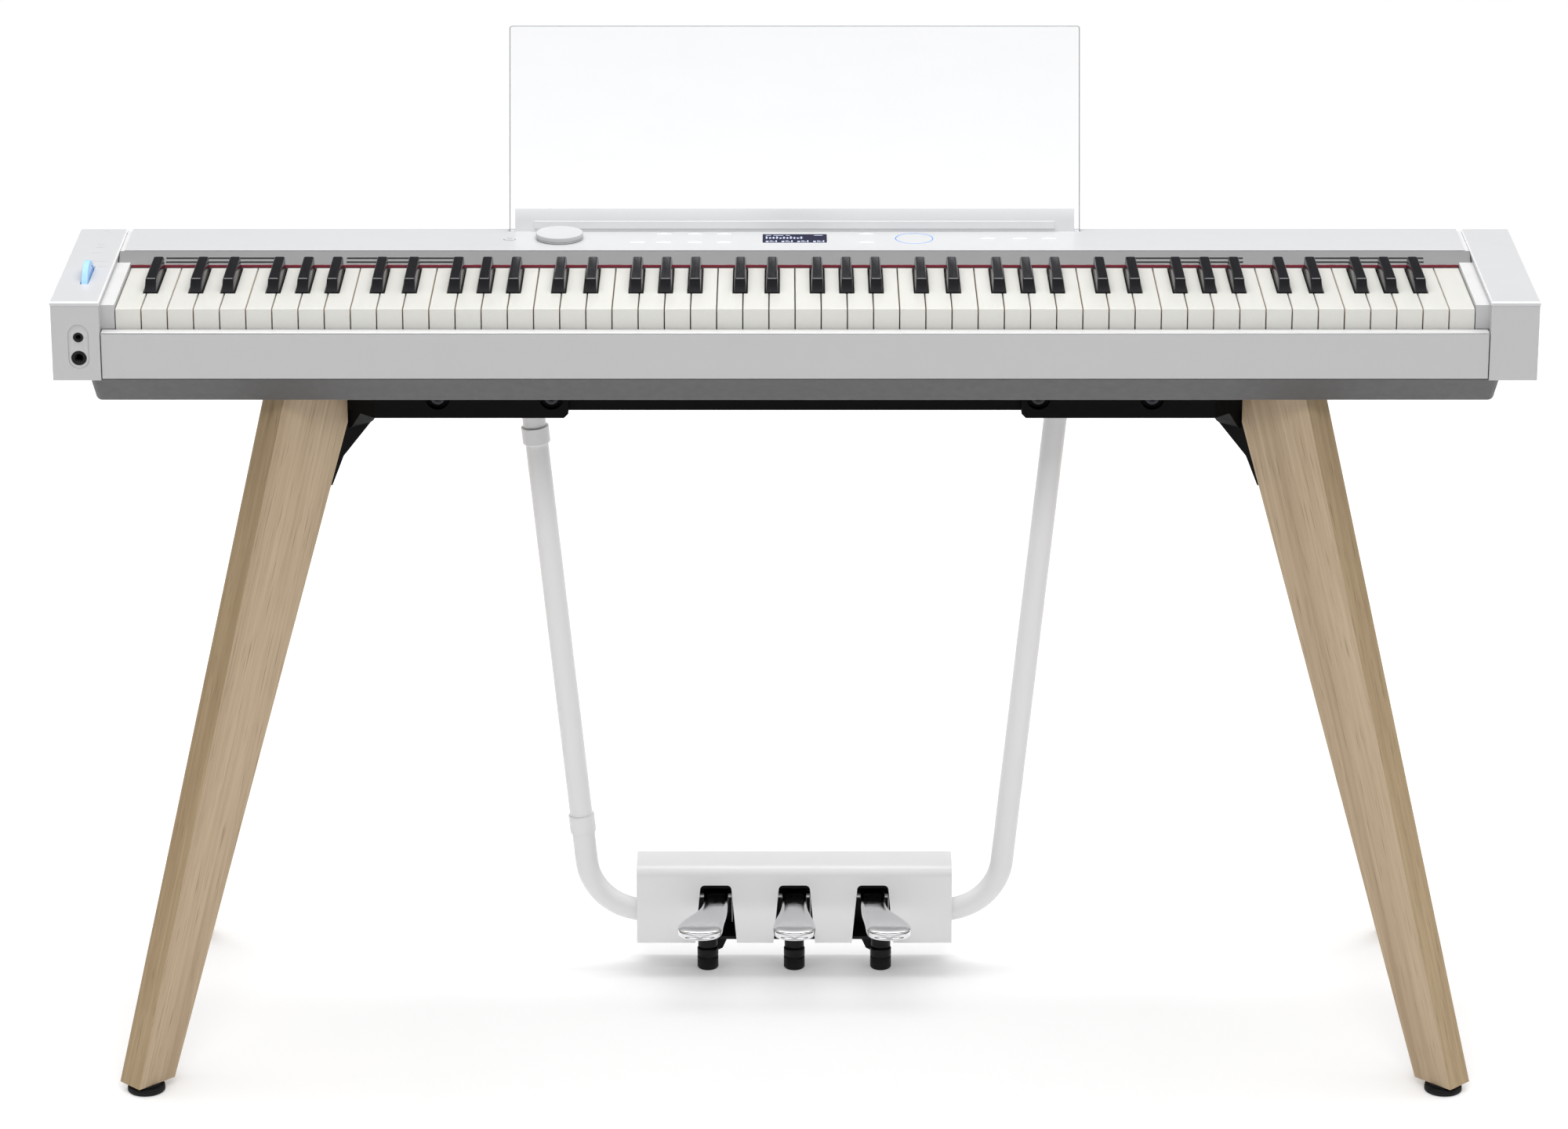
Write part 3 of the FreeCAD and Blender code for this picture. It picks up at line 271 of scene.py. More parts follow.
def oak(name, grain_axis, shaded_side):
    """Straight-grained pale oak: growth bands, fibres and dark pores, with painted shade darkening the faces
    turned towards the given side.
    """
    paint = Paint(name, (0.5, 0.36, 0.22), 0.5)
    paint.turn(grain_axis.to_track_quat("Z", "Y").to_matrix().transposed().to_euler())
    bands = paint.noise(26.0, (1, 1, 0.025), detail=5.0, sway=0.35)
    fibres = paint.noise(420.0, (1, 1, 0.02), detail=4.0)
    streaks = paint.noise(170.0, (1, 1, 0.012), detail=2.0)
    pores = paint.spread(paint.noise(650.0, (1, 1, 0.035), detail=2.0), 0.60, 0.72)
    cloud = paint.noise(5.0, (1, 1, 0.25))
    light, dark = (0.560, 0.425, 0.280), (0.385, 0.272, 0.160)
    base = paint.mix(paint.spread(bands, 0.41, 0.57), dark, light)
    base = paint.mix(paint.spread(streaks, 0.44, 0.60, 0.0, 0.40), base, (0.620, 0.485, 0.325))
    base = paint.mix(paint.spread(fibres, 0.36, 0.70, 0.0, 0.50), base, (0.325, 0.225, 0.128))
    base = paint.mix(paint.spread(cloud, 0.35, 0.70, 0.0, 0.30), base, (0.600, 0.465, 0.315))
    base = paint.mix(paint.math("MULTIPLY", pores, 0.50), base, (0.19, 0.12, 0.065))
    # painted shade: faces turned towards the given side are multiplied darker, standing in for the shade on the
    # legs' outer faces
    painted_light_facing = paint.add("ShaderNodeVectorMath", paint.normal, shaded_side, operation="DOT_PRODUCT")
    edge = paint.spread(painted_light_facing.outputs["Value"], 0.55, 0.85)
    paint.colour(paint.mix(edge, base, (0.86, 0.83, 0.74), "MULTIPLY"))
    paint.rough(fibres, 0.42, 0.62)
    relief = paint.math("SUBTRACT", paint.math("MULTIPLY", fibres, 0.5), pores)
    paint.bump(relief, 0.05 * MM)
    return paint.material


def spruce():
    """Wooden sides of the white keys, seen in the gaps between them."""
    paint = Paint("key_spruce", (0.60, 0.42, 0.25), 0.6)
    fibres = paint.noise(500.0, (1, 0.03, 1), detail=4.0)
    paint.colour(paint.mix(paint.spread(fibres, 0.3, 0.7), (0.70, 0.52, 0.33), (0.90, 0.72, 0.50)))
    paint.bump(fibres, 0.04 * MM)
    return paint.material


def ivory():
    """Off-white key tops with a faint lengthways grain that takes up sweat."""
    paint = Paint("key_ivory", (0.72, 0.715, 0.68), 0.32, coat_weight=0.10, coat_roughness=0.15)
    grain = paint.noise(700.0, (1, 0.06, 1), detail=4.0)
    cloud = paint.noise(14.0)
    tone = paint.mix(paint.spread(grain, 0.3, 0.7), (0.735, 0.73, 0.685), (0.755, 0.75, 0.71))
    paint.colour(paint.mix(paint.spread(cloud, 0.3, 0.7, 0.0, 0.25), tone, (0.74, 0.725, 0.665)))
    paint.rough(grain, 0.28, 0.36)
    paint.bump(grain, 0.002 * MM)
    return paint.material


def ebony(name, roughness, sheen_level):
    """Black key caps: semi-gloss, with a faint lengthways grain."""
    paint = Paint(name, (0.007, 0.007, 0.009), roughness, specular_ior_level=sheen_level)
    grain = paint.noise(800.0, (1, 0.05, 1), detail=3.0)
    paint.colour(paint.mix(paint.spread(grain, 0.3, 0.7), (0.006, 0.006, 0.008), (0.010, 0.010, 0.0125)))
    paint.rough(grain, roughness * 0.8, roughness * 1.2)
    paint.bump(grain, 0.001 * MM)
    return paint.material


def felt():
    paint = Paint("crimson_felt", (0.12, 0.003, 0.012), 0.95, sheen_weight=0.12, sheen_roughness=0.5)
    fuzz = paint.noise(2400.0, detail=5.0)
    paint.colour(paint.mix(paint.spread(fuzz, 0.3, 0.7), (0.085, 0.002, 0.009), (0.170, 0.005, 0.018)))
    paint.bump(fuzz, 0.2 * MM)
    return paint.material


def clear_sheet():
    """Clear acrylic that lets lamps through, so that it casts hardly any shadow."""
    paint = Paint("clear_acrylic", (0.985, 0.99, 1.0), 0.02, transmission_weight=1.0, ior=1.49)
    dust = paint.noise(30.0, detail=4.0)
    paint.rough(dust, 0.01, 0.035)
    path = paint.add("ShaderNodeLightPath")
    open_air = paint.add("ShaderNodeBsdfTransparent", (0.95, 0.96, 0.97, 1.0))
    either = paint.add("ShaderNodeMixShader", path.outputs["Is Shadow Ray"],
                       paint.shader.outputs[0], open_air.outputs[0])
    out = next(node for node in paint.tree.nodes if node.type == "OUTPUT_MATERIAL")
    paint.tree.links.new(either.outputs[0], out.inputs["Surface"])
    return paint.material


def frosted(name, colour, roughness, painted_glow=0.0, fade=(0.0, 1.0), faded=1.0):
    """Sawn or sand-blasted acrylic; it scatters light, carries a painted white glow, and fades upwards between two
    heights.
    """
    # painted light: the white emission lifts the shade on the sheet, such as the shade under the rest's ledge
    paint = Paint(name, colour, roughness, emission_color=(1, 1, 1, 1), emission_strength=painted_glow)
    cloud = paint.noise(25.0)
    base = paint.mix(cloud, shade(colour, 0.97), shade(colour, 1.02))
    if faded != 1.0:
        base = paint.mix(paint.spread(paint.axis("Z"), *fade), base, shade(colour, faded))
    paint.colour(base)
    paint.bump(paint.noise(1800.0), 0.006 * MM)
    paint.rough(paint.noise(80.0), roughness * 0.85, roughness * 1.2)
    return paint.material


def glow(name, colour, light, strength, roughness=0.25):
    """Lit translucent plastic with slightly uneven brightness."""
    paint = Paint(name, colour, roughness, emission_strength=strength, specular_ior_level=0.08)
    cloud = paint.noise(90.0)
    paint.set("Emission Color", (*light, 1.0))
    paint.colour(paint.mix(cloud, shade(colour, 0.85), colour))
    paint.rough(cloud, roughness * 0.8, roughness * 1.3)
    return paint.material


def display_glass():
    """Dark panel whose pixels glow faintly blue behind a gloss front."""
    paint = Paint("display_glass", (0.004, 0.004, 0.012), 0.06, specular_ior_level=0.02,
                  emission_strength=1.0)
    cell = 0.45 * MM
    columns = paint.math("PINGPONG", paint.axis("X"), cell / 2)
    rows = paint.math("PINGPONG", paint.axis("Y"), cell / 2)
    gap = paint.math("MINIMUM", columns, rows)
    lit = paint.spread(gap, 0.0, cell / 8)
    paint.tree.links.new(paint.mix(lit, (0.003, 0.003, 0.016), (0.007, 0.006, 0.040)),
                         paint.shader.inputs["Emission Color"])
    paint.rough(paint.noise(20.0), 0.04, 0.09)
    return paint.material


def circuit(board_top):
    """Green resin board with copper tracks; whatever stands above it is black."""
    paint = Paint("circuit_board", (0.02, 0.10, 0.04), 0.4)
    tracks = paint.add("ShaderNodeTexBrick", paint.place)
    tracks.inputs["Scale"].default_value = 160.0
    tracks.inputs["Mortar Size"].default_value = 0.06
    tracks.inputs["Color1"].default_value = (0.015, 0.085, 0.035, 1)
    tracks.inputs["Color2"].default_value = (0.02, 0.11, 0.045, 1)
    tracks.inputs["Mortar"].default_value = (0.10, 0.20, 0.07, 1)
    chip = paint.math("GREATER_THAN", paint.axis("Z"), board_top + 0.05 * MM)
    paint.colour(paint.mix(chip, tracks.outputs["Color"], (0.012, 0.012, 0.013)))
    paint.rough(paint.noise(300.0), 0.30, 0.55)
    paint.bump(paint.noise(900.0), 0.02 * MM)
    return paint.material


def make_materials():
    return {
        # top=1.36 paints overhead light onto the satin white's upward faces
        "white_satin": lacquer("white_satin", (0.535, 0.535, 0.537), 0.38, 0.08, top=1.36),
        "white_gloss": lacquer("white_gloss", (0.625, 0.63, 0.64), 0.20, 0.0, depth=0.002 * MM,
                               specular_ior_level=0.10),
        # brighter copy of the white gloss for chamfers and bevels: a painted highlight
        "painted_edge_highlight": lacquer("painted_edge_highlight", (0.95, 0.95, 0.955), 0.30, 0.0, depth=0.001 * MM),
        "rail_satin": lacquer("rail_satin", (0.175, 0.175, 0.178), 0.16, 0.15),
        # the last figure, 1.03, paints a little overhead light onto the tube finish's upward faces
        "white_tube": lacquer("white_tube", (0.85, 0.85, 0.86), 0.33, 0.12, 2200.0, 0.008 * MM, 1.03),
        "grey_plastic": moulded("grey_plastic", (0.079, 0.079, 0.0805), 0.48),
        "black_plastic": moulded("black_plastic", (0.005, 0.005, 0.0055), 0.45, specular_ior_level=0.22),
        "black_casting": moulded("black_casting", (0.0055, 0.0055, 0.006), 0.48, 1500.0, 0.035 * MM,
                                 specular_ior_level=0.05),
        "black_rubber": moulded("black_rubber", (0.008, 0.008, 0.009), 0.62, 1800.0, 0.05 * MM,
                                specular_ior_level=0.25),
        "jack_black": moulded("jack_black", (0.003, 0.003, 0.0035), 0.30, specular_ior_level=0.25),
        "jack_ring": metal("jack_ring", (0.035, 0.035, 0.038), 0.35),
        "speaker_paper": moulded("speaker_paper", (0.022, 0.022, 0.024), 0.85, 700.0, 0.12 * MM),
        "dark_screw": metal("dark_screw", (0.045, 0.045, 0.05), 0.38),
        "steel": metal("steel", (0.56, 0.56, 0.57), 0.28, (0.05, 1, 1)),
        "chrome": metal("chrome", (0.84, 0.84, 0.855), 0.12, (0.4, 0.4, 0.4), 0.0004 * MM),
        "mark": glow("panel_mark", (0.90, 0.91, 0.92), (1.0, 1.0, 1.0), 0.22, 0.3),
        "mark_print": lacquer("panel_mark_print", (0.56, 0.57, 0.58), 0.3, 0.1),
        "mark_dark": lacquer("panel_mark_dark", (0.22, 0.225, 0.23), 0.35, 0.1),
        "felt": felt(), "ivory": ivory(), "ebony": ebony("key_ebony", 0.20, 0.14),
        "ebony_edge": ebony("key_ebony_edge", 0.12, 1.0), "spruce": spruce(),
        "clear": clear_sheet(), "display": display_glass(),
        "edge": frosted("acrylic_edge", (0.46, 0.465, 0.475), 0.35),
        # its glow, 0.17, is painted light that lifts the shade under the ledge
        "frost": frosted("acrylic_frost", (0.58, 0.585, 0.595), 0.5, 0.17, (0.750, 0.762), 1.28),
        "display_mark": glow("display_mark", (0.3, 0.32, 0.42), (0.60, 0.66, 0.85), 0.75),
        "ring_light": glow("ring_light", (0.02, 0.12, 0.34), (0.03, 0.26, 0.85), 0.80),
        "wheel_blue": glow("wheel_blue", (0.36, 0.52, 0.72), (0.16, 0.34, 0.70), 0.40, 0.15),
        # darker copy of the lit blue: painted shade for the gaps beside the wheel
        "wheel_painted_shade": glow("wheel_painted_shade", (0.05, 0.12, 0.34), (0.05, 0.16, 0.46), 0.40, 0.12),
        "wheel_rim": glow("wheel_rim", (0.40, 0.60, 0.74), (0.25, 0.50, 0.70), 0.42, 0.15),
    }


# ---------------------------------------------------------------- mesh tools
def piece_of(name, bm, materials, body, slot, *replaced, crease=38):
    """Links one mesh piece, shades it smooth up to the crease angle and rides it on a body."""
    bmesh.ops.recalc_face_normals(bm, faces=bm.faces)
    mesh = bpy.data.meshes.new(name)
    bm.to_mesh(mesh)
    bm.free()
    for material in materials:
        mesh.materials.append(material)
    for polygon in mesh.polygons:
        polygon.use_smooth = True
    mesh.set_sharp_from_angle(angle=math.radians(crease))
    piece = bpy.data.objects.new(name, mesh)
    bpy.context.scene.collection.objects.link(piece)
    if replaced:
        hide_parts(*replaced)
    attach(piece, body)
    return piece


def add_ring(bm, points):
    return [bm.verts.new(point) for point in points]


def skin(bm, rings, material=0, loop=False):
    """Quads between neighbouring rings of points; capped at both ends, or joined end to end."""
    made = [add_ring(bm, ring) for ring in rings]
    faces = []
    count = len(made[0])
    for low, high in zip(made, made[1:] + made[:1] if loop else made[1:]):
        for i in range(count):
            j = (i + 1) % count
            faces.append(bm.faces.new((low[i], low[j], high[j], high[i])))
    if not loop:
        faces.append(bm.faces.new(made[0][::-1]))
        faces.append(bm.faces.new(made[-1]))
    for face in faces:
        face.material_index = material
    return faces


def spin(bm, profile, centre, axis="Z", steps=64, material=0, loop=False):
    """Solid of revolution from (radius, distance along the axis) pairs; a loop gives a collar."""
    centre = Vector(centre)
    turn = {"Z": Matrix.Identity(3), "X": Matrix.Rotation(math.pi / 2, 3, "Y"),
            "Y": Matrix.Rotation(-math.pi / 2, 3, "X")}[axis]
    rings = []
    for radius, along in profile:
        ring = []
        for i in range(steps):
            angle = 2 * math.pi * i / steps
            spoke = Vector((radius * math.cos(angle), radius * math.sin(angle), along))
            ring.append(centre + turn @ spoke)
        rings.append(ring)
    return skin(bm, rings, material, loop)


def offsets(radius, height, *steps):
    """(radius, height) pairs of a turned profile, each given by its offsets in millimetres."""
    return [(radius + out * MM, height + up * MM) for out, up in steps]


def rounded_outline(x_low, x_high, y_low, y_high, radius, steps=4):
    """Rounded rectangle as (x, y) points, anticlockwise."""
    points = []
    corners = ((x_high - radius, y_high - radius, 0), (x_low + radius, y_high - radius, 90),
               (x_low + radius, y_low + radius, 180), (x_high - radius, y_low + radius, 270))
    for cx, cy, start in corners:
        for i in range(steps + 1):
            angle = math.radians(start + 90 * i / steps)
            points.append((cx + radius * math.cos(angle), cy + radius * math.sin(angle)))
    return points


def add_slab(bm, low, high, radius, edge):
    """Upright block with rounded corners and softened top and bottom edges."""
    def ring(inset, z):
        outline = rounded_outline(low[0] + inset, high[0] - inset, low[1] + inset, high[1] - inset,
                                  max(radius - inset, 0.05 * MM))
        return [(x, y, z) for x, y in outline]

    skin(bm, [ring(edge, low[2]), ring(edge * 0.3, low[2] + edge * 0.3), ring(0, low[2] + edge),
              ring(0, high[2] - edge), ring(edge * 0.3, high[2] - edge * 0.3), ring(edge, high[2])])


def solids_of(node):
    """Lowest and highest corner of each separate solid in a CAD node, sorted by X."""
    bm = bmesh.new()
    bm.from_mesh(NODES[node].data)
    bmesh.ops.remove_doubles(bm, verts=bm.verts, dist=WELD)
    left = set(bm.verts)
    boxes = []
    while left:
        group, queue = [], [left.pop()]
        while queue:
            vert = queue.pop()
            group.append(vert.co.copy())
            for edge in vert.link_edges:
                other = edge.other_vert(vert)
                if other in left:
                    left.remove(other)
                    queue.append(other)
        boxes.append((Vector(map(min, zip(*group))), Vector(map(max, zip(*group)))))
    bm.free()
    return sorted(boxes, key=lambda pair: pair[0].x)


def middle(node):
    low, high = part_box(node)
    return (low + high) / 2


# ---------------------------------------------------------------- carried-over CAD nodes
def finish_node(node, material, bevel=0.0, segments=2, edge=None):
    """Gives a CAD node its material and a small rounding; if edge is set, sloping chamfers and bevels take that
    material, a painted highlight.
    """
    part = NODES[node]
    part.data.materials.clear()
    part.data.materials.append(material)
    # edge is a brighter copy of the white: chamfers sloping upwards and the bevel's faces carry it as a painted
    # highlight
    if edge:
        part.data.materials.append(edge)
    for polygon in part.data.polygons:
        polygon.material_index = int(edge is not None and 0.3 < polygon.normal.z < 0.95)
        polygon.use_smooth = True
    weld = part.modifiers.new("weld", "WELD")
    weld.merge_threshold = WELD
    if bevel:
        rounding = part.modifiers.new("rounding", "BEVEL")
        rounding.width = bevel
        rounding.segments = segments
        rounding.limit_method = "ANGLE"
        rounding.angle_limit = BEVEL_ANGLE
        rounding.use_clamp_overlap = True
        if edge:
            rounding.material = 1
    normals = part.modifiers.new("normals", "WEIGHTED_NORMAL")
    normals.keep_sharp = False
    normals.weight = 90


def finish_case(paints):
    satin, gloss, edge = paints["white_satin"], paints["white_gloss"], paints["painted_edge_highlight"]
    finish_node("key_slip", satin, 1.0 * MM, 3)
    # the panel and end caps get the brighter edge white on their chamfers as a painted highlight
    finish_node("top_panel", gloss, 0.8 * MM, 3, edge)
    finish_node("circuit_board", circuit(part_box("circuit_board")[0].z + BOARD_THICK))
    for side in ("left", "right"):
        finish_node(side + "_end_cap", gloss, 0.25 * MM, edge=edge)
    # (node, paint, rounding in millimetres)
    for node, paint, rounding in (
            ("lower_case", "grey_plastic", 0.8), ("left_end_block", "white_satin", 0.5),
            ("right_end_block", "white_satin", 0.5), ("left_bracket", "black_casting", 0.8),
            ("right_bracket", "black_casting", 0.8), ("left_pedal_tube", "white_tube", 0),
            ("right_pedal_tube", "white_tube", 0), ("grille_rail", "rail_satin", 0.25),
            ("jack_plate", "white_satin", 0), ("rear_cover", "white_satin", 0.5),
            ("connector_plate", "black_plastic", 0.3), ("display_window", "display", 0.15),
            ("touch_ring", "ring_light", 0), ("key_chassis", "black_plastic", 0.3),
            ("key_pivot_rod", "steel", 0), ("cross_rail", "black_casting", 0.4),
            ("tube_clips", "white_tube", 0.4), ("pedal_housing", "white_tube", 0.5),
            ("pedal_base", "black_plastic", 0.4), ("pedal_shaft", "steel", 0.3),
            ("leg_bolts", "steel", 0.3), ("case_screws", "dark_screw", 0.5)):
        finish_node(node, paints[paint], rounding * MM)


def leg_axis(node):
    """Direction of a leg from its foot to its top, from the middles of its two end faces."""
    low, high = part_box(node)
    ends = []
    for height in (low.z, high.z):
        close = [v.co for v in NODES[node].data.vertices if abs(v.co.z - height) < 1 * MM]
        ends.append(sum(close, Vector()) / len(close))
    return (ends[1] - ends[0]).normalized()


def finish_legs():
    for end in ("front", "rear"):
        for side in ("left", "right"):
            node = "%s_%s_leg" % (end, side)
            # outwards is each leg's outer face, which oak() darkens as painted shade
            outwards = Vector((-1 if side == "left" else 1, -1 if end == "front" else 1, 0)).normalized()
            finish_node(node, oak(node + "_oak", leg_axis(node), outwards), 1.6 * MM, 3)


# ---------------------------------------------------------------- keyboard
def white_keys(note, paints):
    """White keys of one note: rounded plastic caps over wooden sides."""
    node = "keys_" + note
    low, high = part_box(node)
    bm = bmesh.new()
    bm.from_mesh(NODES[node].data)
    bmesh.ops.remove_doubles(bm, verts=bm.verts, dist=WELD)
    bmesh.ops.dissolve_limit(bm, angle_limit=math.radians(1), verts=bm.verts, edges=bm.edges)
    near = 0.05 * MM
    rounded = []
    for edge in bm.edges:
        ends = [vert.co for vert in edge.verts]
        at_top = all(abs(co.z - high.z) < near for co in ends)
        at_front = all(abs(co.y - low.y) < near for co in ends)
        upright = abs(ends[0].z - ends[1].z) > 5 * MM
        if at_top or (at_front and upright):
            rounded.append(edge)
    bmesh.ops.bevel(bm, geom=rounded, offset=0.7 * MM, segments=3, profile=0.55, affect="EDGES")
    skirt = high.z - 2.4 * MM
    front = low.y + 1.6 * MM
    for place, normal in (((0, 0, skirt), (0, 0, 1)), ((0, front, 0), (0, 1, 0))):
        geometry = bm.verts[:] + bm.edges[:] + bm.faces[:]
        bmesh.ops.bisect_plane(bm, geom=geometry, plane_co=place, plane_no=normal)
    for face in bm.faces:
        centre = face.calc_center_median()
        face.material_index = int(centre.z < skirt and centre.y > front)
    piece_of("white_keys_" + note, bm, [paints["ivory"], paints["spruce"]], node, "key_white", node)


def black_keys(note, paints):
    """Black keys of one note: tapered caps with a small skirt, rounded along the top."""
    node = "keys_" + note
    bm = bmesh.new()
    for low, high in solids_of(node):
        x = (low.x + high.x) / 2
        half = (high.x - low.x) / 2
        back = low.y + BLACK_CAP_LENGTH
        top = high.z
        white_top = top - BLACK_ABOVE_WHITE
        # (height, half width, how far the front has sloped back, corner radius)
        levels = ((low.z, half, 0.0, 0.4), (white_top + 0.2 * MM, half, 0.0, 0.5),
                  (white_top + 0.7 * MM, half - 0.08 * MM, 0.08, 0.6),
                  (white_top + 1.0 * MM, half - 0.55 * MM, 0.5, 0.9),
                  (top - 1.3 * MM, half - 1.05 * MM, 6.8, 1.2),
                  (top - 0.75 * MM, half - 1.20 * MM, 7.15, 1.2),
                  (top - 0.3 * MM, half - 1.55 * MM, 7.65, 1.2),
                  (top - 0.07 * MM, half - 2.1 * MM, 8.3, 1.1),
                  (top, half - 2.8 * MM, 9.1, 1.0))
        rings = []
        for z, reach, slope, radius in levels:
            tail = back - max(0.0, slope - 6.5) * 0.5 * MM
            outline = rounded_outline(x - reach, x + reach, low.y + slope * MM, tail, radius * MM)
            rings.append([(px, py, z) for px, py in outline])
        skin(bm, rings)
        add_slab(bm, (x - KEY_STICK_HALF, back + 0.05 * MM, low.z),
                 (x + KEY_STICK_HALF, high.y, top - 17.0 * MM), 0.6 * MM, 0.5 * MM)
    bm.normal_update()
    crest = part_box(node)[1].z - 1.0 * MM
    for face in bm.faces:
        near_top = face.calc_center_median().z > crest
        face.material_index = int(near_top and 0.25 < face.normal.z < 0.985)
    piece_of("black_keys_" + note, bm, [paints["ebony"], paints["ebony_edge"]], node, "key_black", node,
             crease=50)


def felt_line(paints):
    """Strip of felt along the backs of the keys, with an uneven nap."""
    low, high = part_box("felt_strip")
    random.seed(7)
    count = 500
    rings = []
    for i in range(count + 1):
        x = low.x + (high.x - low.x) * i / count
        nap = [random.uniform(-0.12, 0.12) * MM for _ in range(4)]
        rings.append([(x, low.y + nap[0], low.z), (x, high.y, low.z),
                      (x, high.y - 0.3 * MM, high.z - 0.1 * MM + nap[1]),
                      (x, low.y + 2.2 * MM, high.z + nap[2]),
                      (x, low.y + 0.5 * MM + nap[0], high.z - 0.35 * MM + nap[3])])
    bm = bmesh.new()
    skin(bm, rings)
    piece_of("felt_line", bm, [paints["felt"]], ROOT, "red_felt", "felt_strip", crease=60)


# ---------------------------------------------------------------- controls
def control_dial(paints):
    """Flat glossy knob with a shadow groove round its skirt and a faintly dished top."""
    low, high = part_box("control_dial")
    centre = middle("control_dial")
    shaft = 3.0 * MM
    profile = [(shaft, low.z), (shaft, high.z - 5.7 * MM)]
    profile += offsets((high.x - low.x) / 2, high.z, (-0.3, -5.7), (0, -5.4), (0, -4.75), (-0.15, -4.6),
                       (-0.8, -4.55), (-0.8, -4.05), (-0.15, -4.0), (0, -3.85), (0, -0.9),
                       (-0.12, -0.5), (-0.42, -0.17), (-0.9, 0), (-2.2, -0.03))
    profile += offsets(0, high.z, (4, -0.22), (0.4, -0.25))
    bm = bmesh.new()
    spin(bm, profile, (centre.x, centre.y, 0), steps=144)
    piece_of("dial_knob", bm, [paints["white_gloss"]], "control_dial", "white_gloss", "control_dial",
             crease=30)


def power_button(paints):
    low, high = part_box("power_button")
    centre = middle("power_button")
    stem = 2.0 * MM
    profile = [(stem, low.z), (stem, high.z - 3.2 * MM)]
    profile += offsets((high.x - low.x) / 2, high.z, (0, -3.2), (0, -0.5), (-0.18, -0.15), (-0.5, 0),
                       (-1.6, -0.12))
    profile += offsets(0, high.z, (0.3, -0.3))
    bm = bmesh.new()
    spin(bm, profile, (centre.x, centre.y, 0), steps=72)
    piece_of("power_cap", bm, [paints["white_gloss"]], "power_button", "white_gloss", "power_button")
    bm = bmesh.new()
    mark_arc(bm, centre.x, centre.y, high.z - 0.14 * MM, 1.9 * MM, 0.35 * MM, 130, 410)
    add_slab(bm, (centre.x - 0.2 * MM, centre.y + 0.4 * MM, high.z - 0.3 * MM),
             (centre.x + 0.2 * MM, centre.y + 2.4 * MM, high.z - 0.1 * MM), 0.1 * MM, 0.04 * MM)
    piece_of("power_mark", bm, [paints["mark_dark"]], "power_button", "grey_plastic")


def mark_arc(bm, x, y, z, radius, width, start, stop, steps=28):
    """Flat raised arc, as printed on a panel."""
    inner, outer = [], []
    for i in range(steps + 1):
        angle = math.radians(start + (stop - start) * i / steps)
        way = Vector((math.cos(angle), math.sin(angle), 0))
        inner.append(Vector((x, y, z)) + way * (radius - width / 2))
        outer.append(Vector((x, y, z)) + way * (radius + width / 2))
    low = [add_ring(bm, inner), add_ring(bm, outer)]
    lift = Vector((0, 0, 0.04 * MM))
    high = [add_ring(bm, [p + lift for p in inner]), add_ring(bm, [p + lift for p in outer])]
    for i in range(steps):
        bm.faces.new((high[0][i], high[1][i], high[1][i + 1], high[0][i + 1]))
        bm.faces.new((low[0][i], low[0][i + 1], low[1][i + 1], low[1][i]))
        bm.faces.new((low[1][i], low[1][i + 1], high[1][i + 1], high[1][i]))
        bm.faces.new((low[0][i + 1], low[0][i], high[0][i], high[0][i + 1]))
    for i in (0, steps):
        bm.faces.new((low[0][i], low[1][i], high[1][i], high[0][i]))


def touch_marks(paints):
    """Lit signs of the touch buttons: a long bar with a short one above it at each place."""
    panel_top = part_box("top_panel")[1].z
    display = middle("display_window")
    places = [(-146.5, -13), (-122, 16), (-122, -13), (-93, 16), (-93, -13), (-66, 16), (-66, -13),
              (67, 16), (67, -13), (180, 0), (210, 0), (237, 0)]
    bm = bmesh.new()
    for x, dy in places:
        centre = Vector((display.x + x * MM, display.y + dy * MM, 0))
        bars = ((6.6, -1.8, 2.2), (3.0, 1.8, 0.7))
        for half, shift, thick in bars:
            add_slab(bm, (centre.x - half * MM, centre.y + shift * MM, panel_top - 0.1 * MM),
                     (centre.x + half * MM, centre.y + (shift + thick) * MM, panel_top + 0.03 * MM),
                     0.25 * MM, MARK_EDGE)
    piece_of("touch_marks", bm, [paints["mark"]], ROOT, "grey_plastic")
    cap_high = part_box("left_end_cap")[1]
    wheel = middle("pitch_wheel")
    bm = bmesh.new()
    bars = ((-3.0, 2.5, 147.0), (5.0, 7.5, 138.0), (-2.5, 5.0, 100.0), (-2.5, 4.0, 91.0),
            (-4.5, 5.5, 71.0), (-6.5, 13.0, 44.0), (6.5, 13.0, 26.0))
    for left, right, dy in bars:
        add_slab(bm, (wheel.x + left * MM, wheel.y + dy * MM, cap_high.z - 0.1 * MM),
                 (wheel.x + right * MM, wheel.y + (dy + 1.5) * MM, cap_high.z + 0.03 * MM), 0.2 * MM,
                 MARK_EDGE)
    piece_of("end_cap_marks", bm, [paints["mark_print"]], ROOT, "grey_plastic")


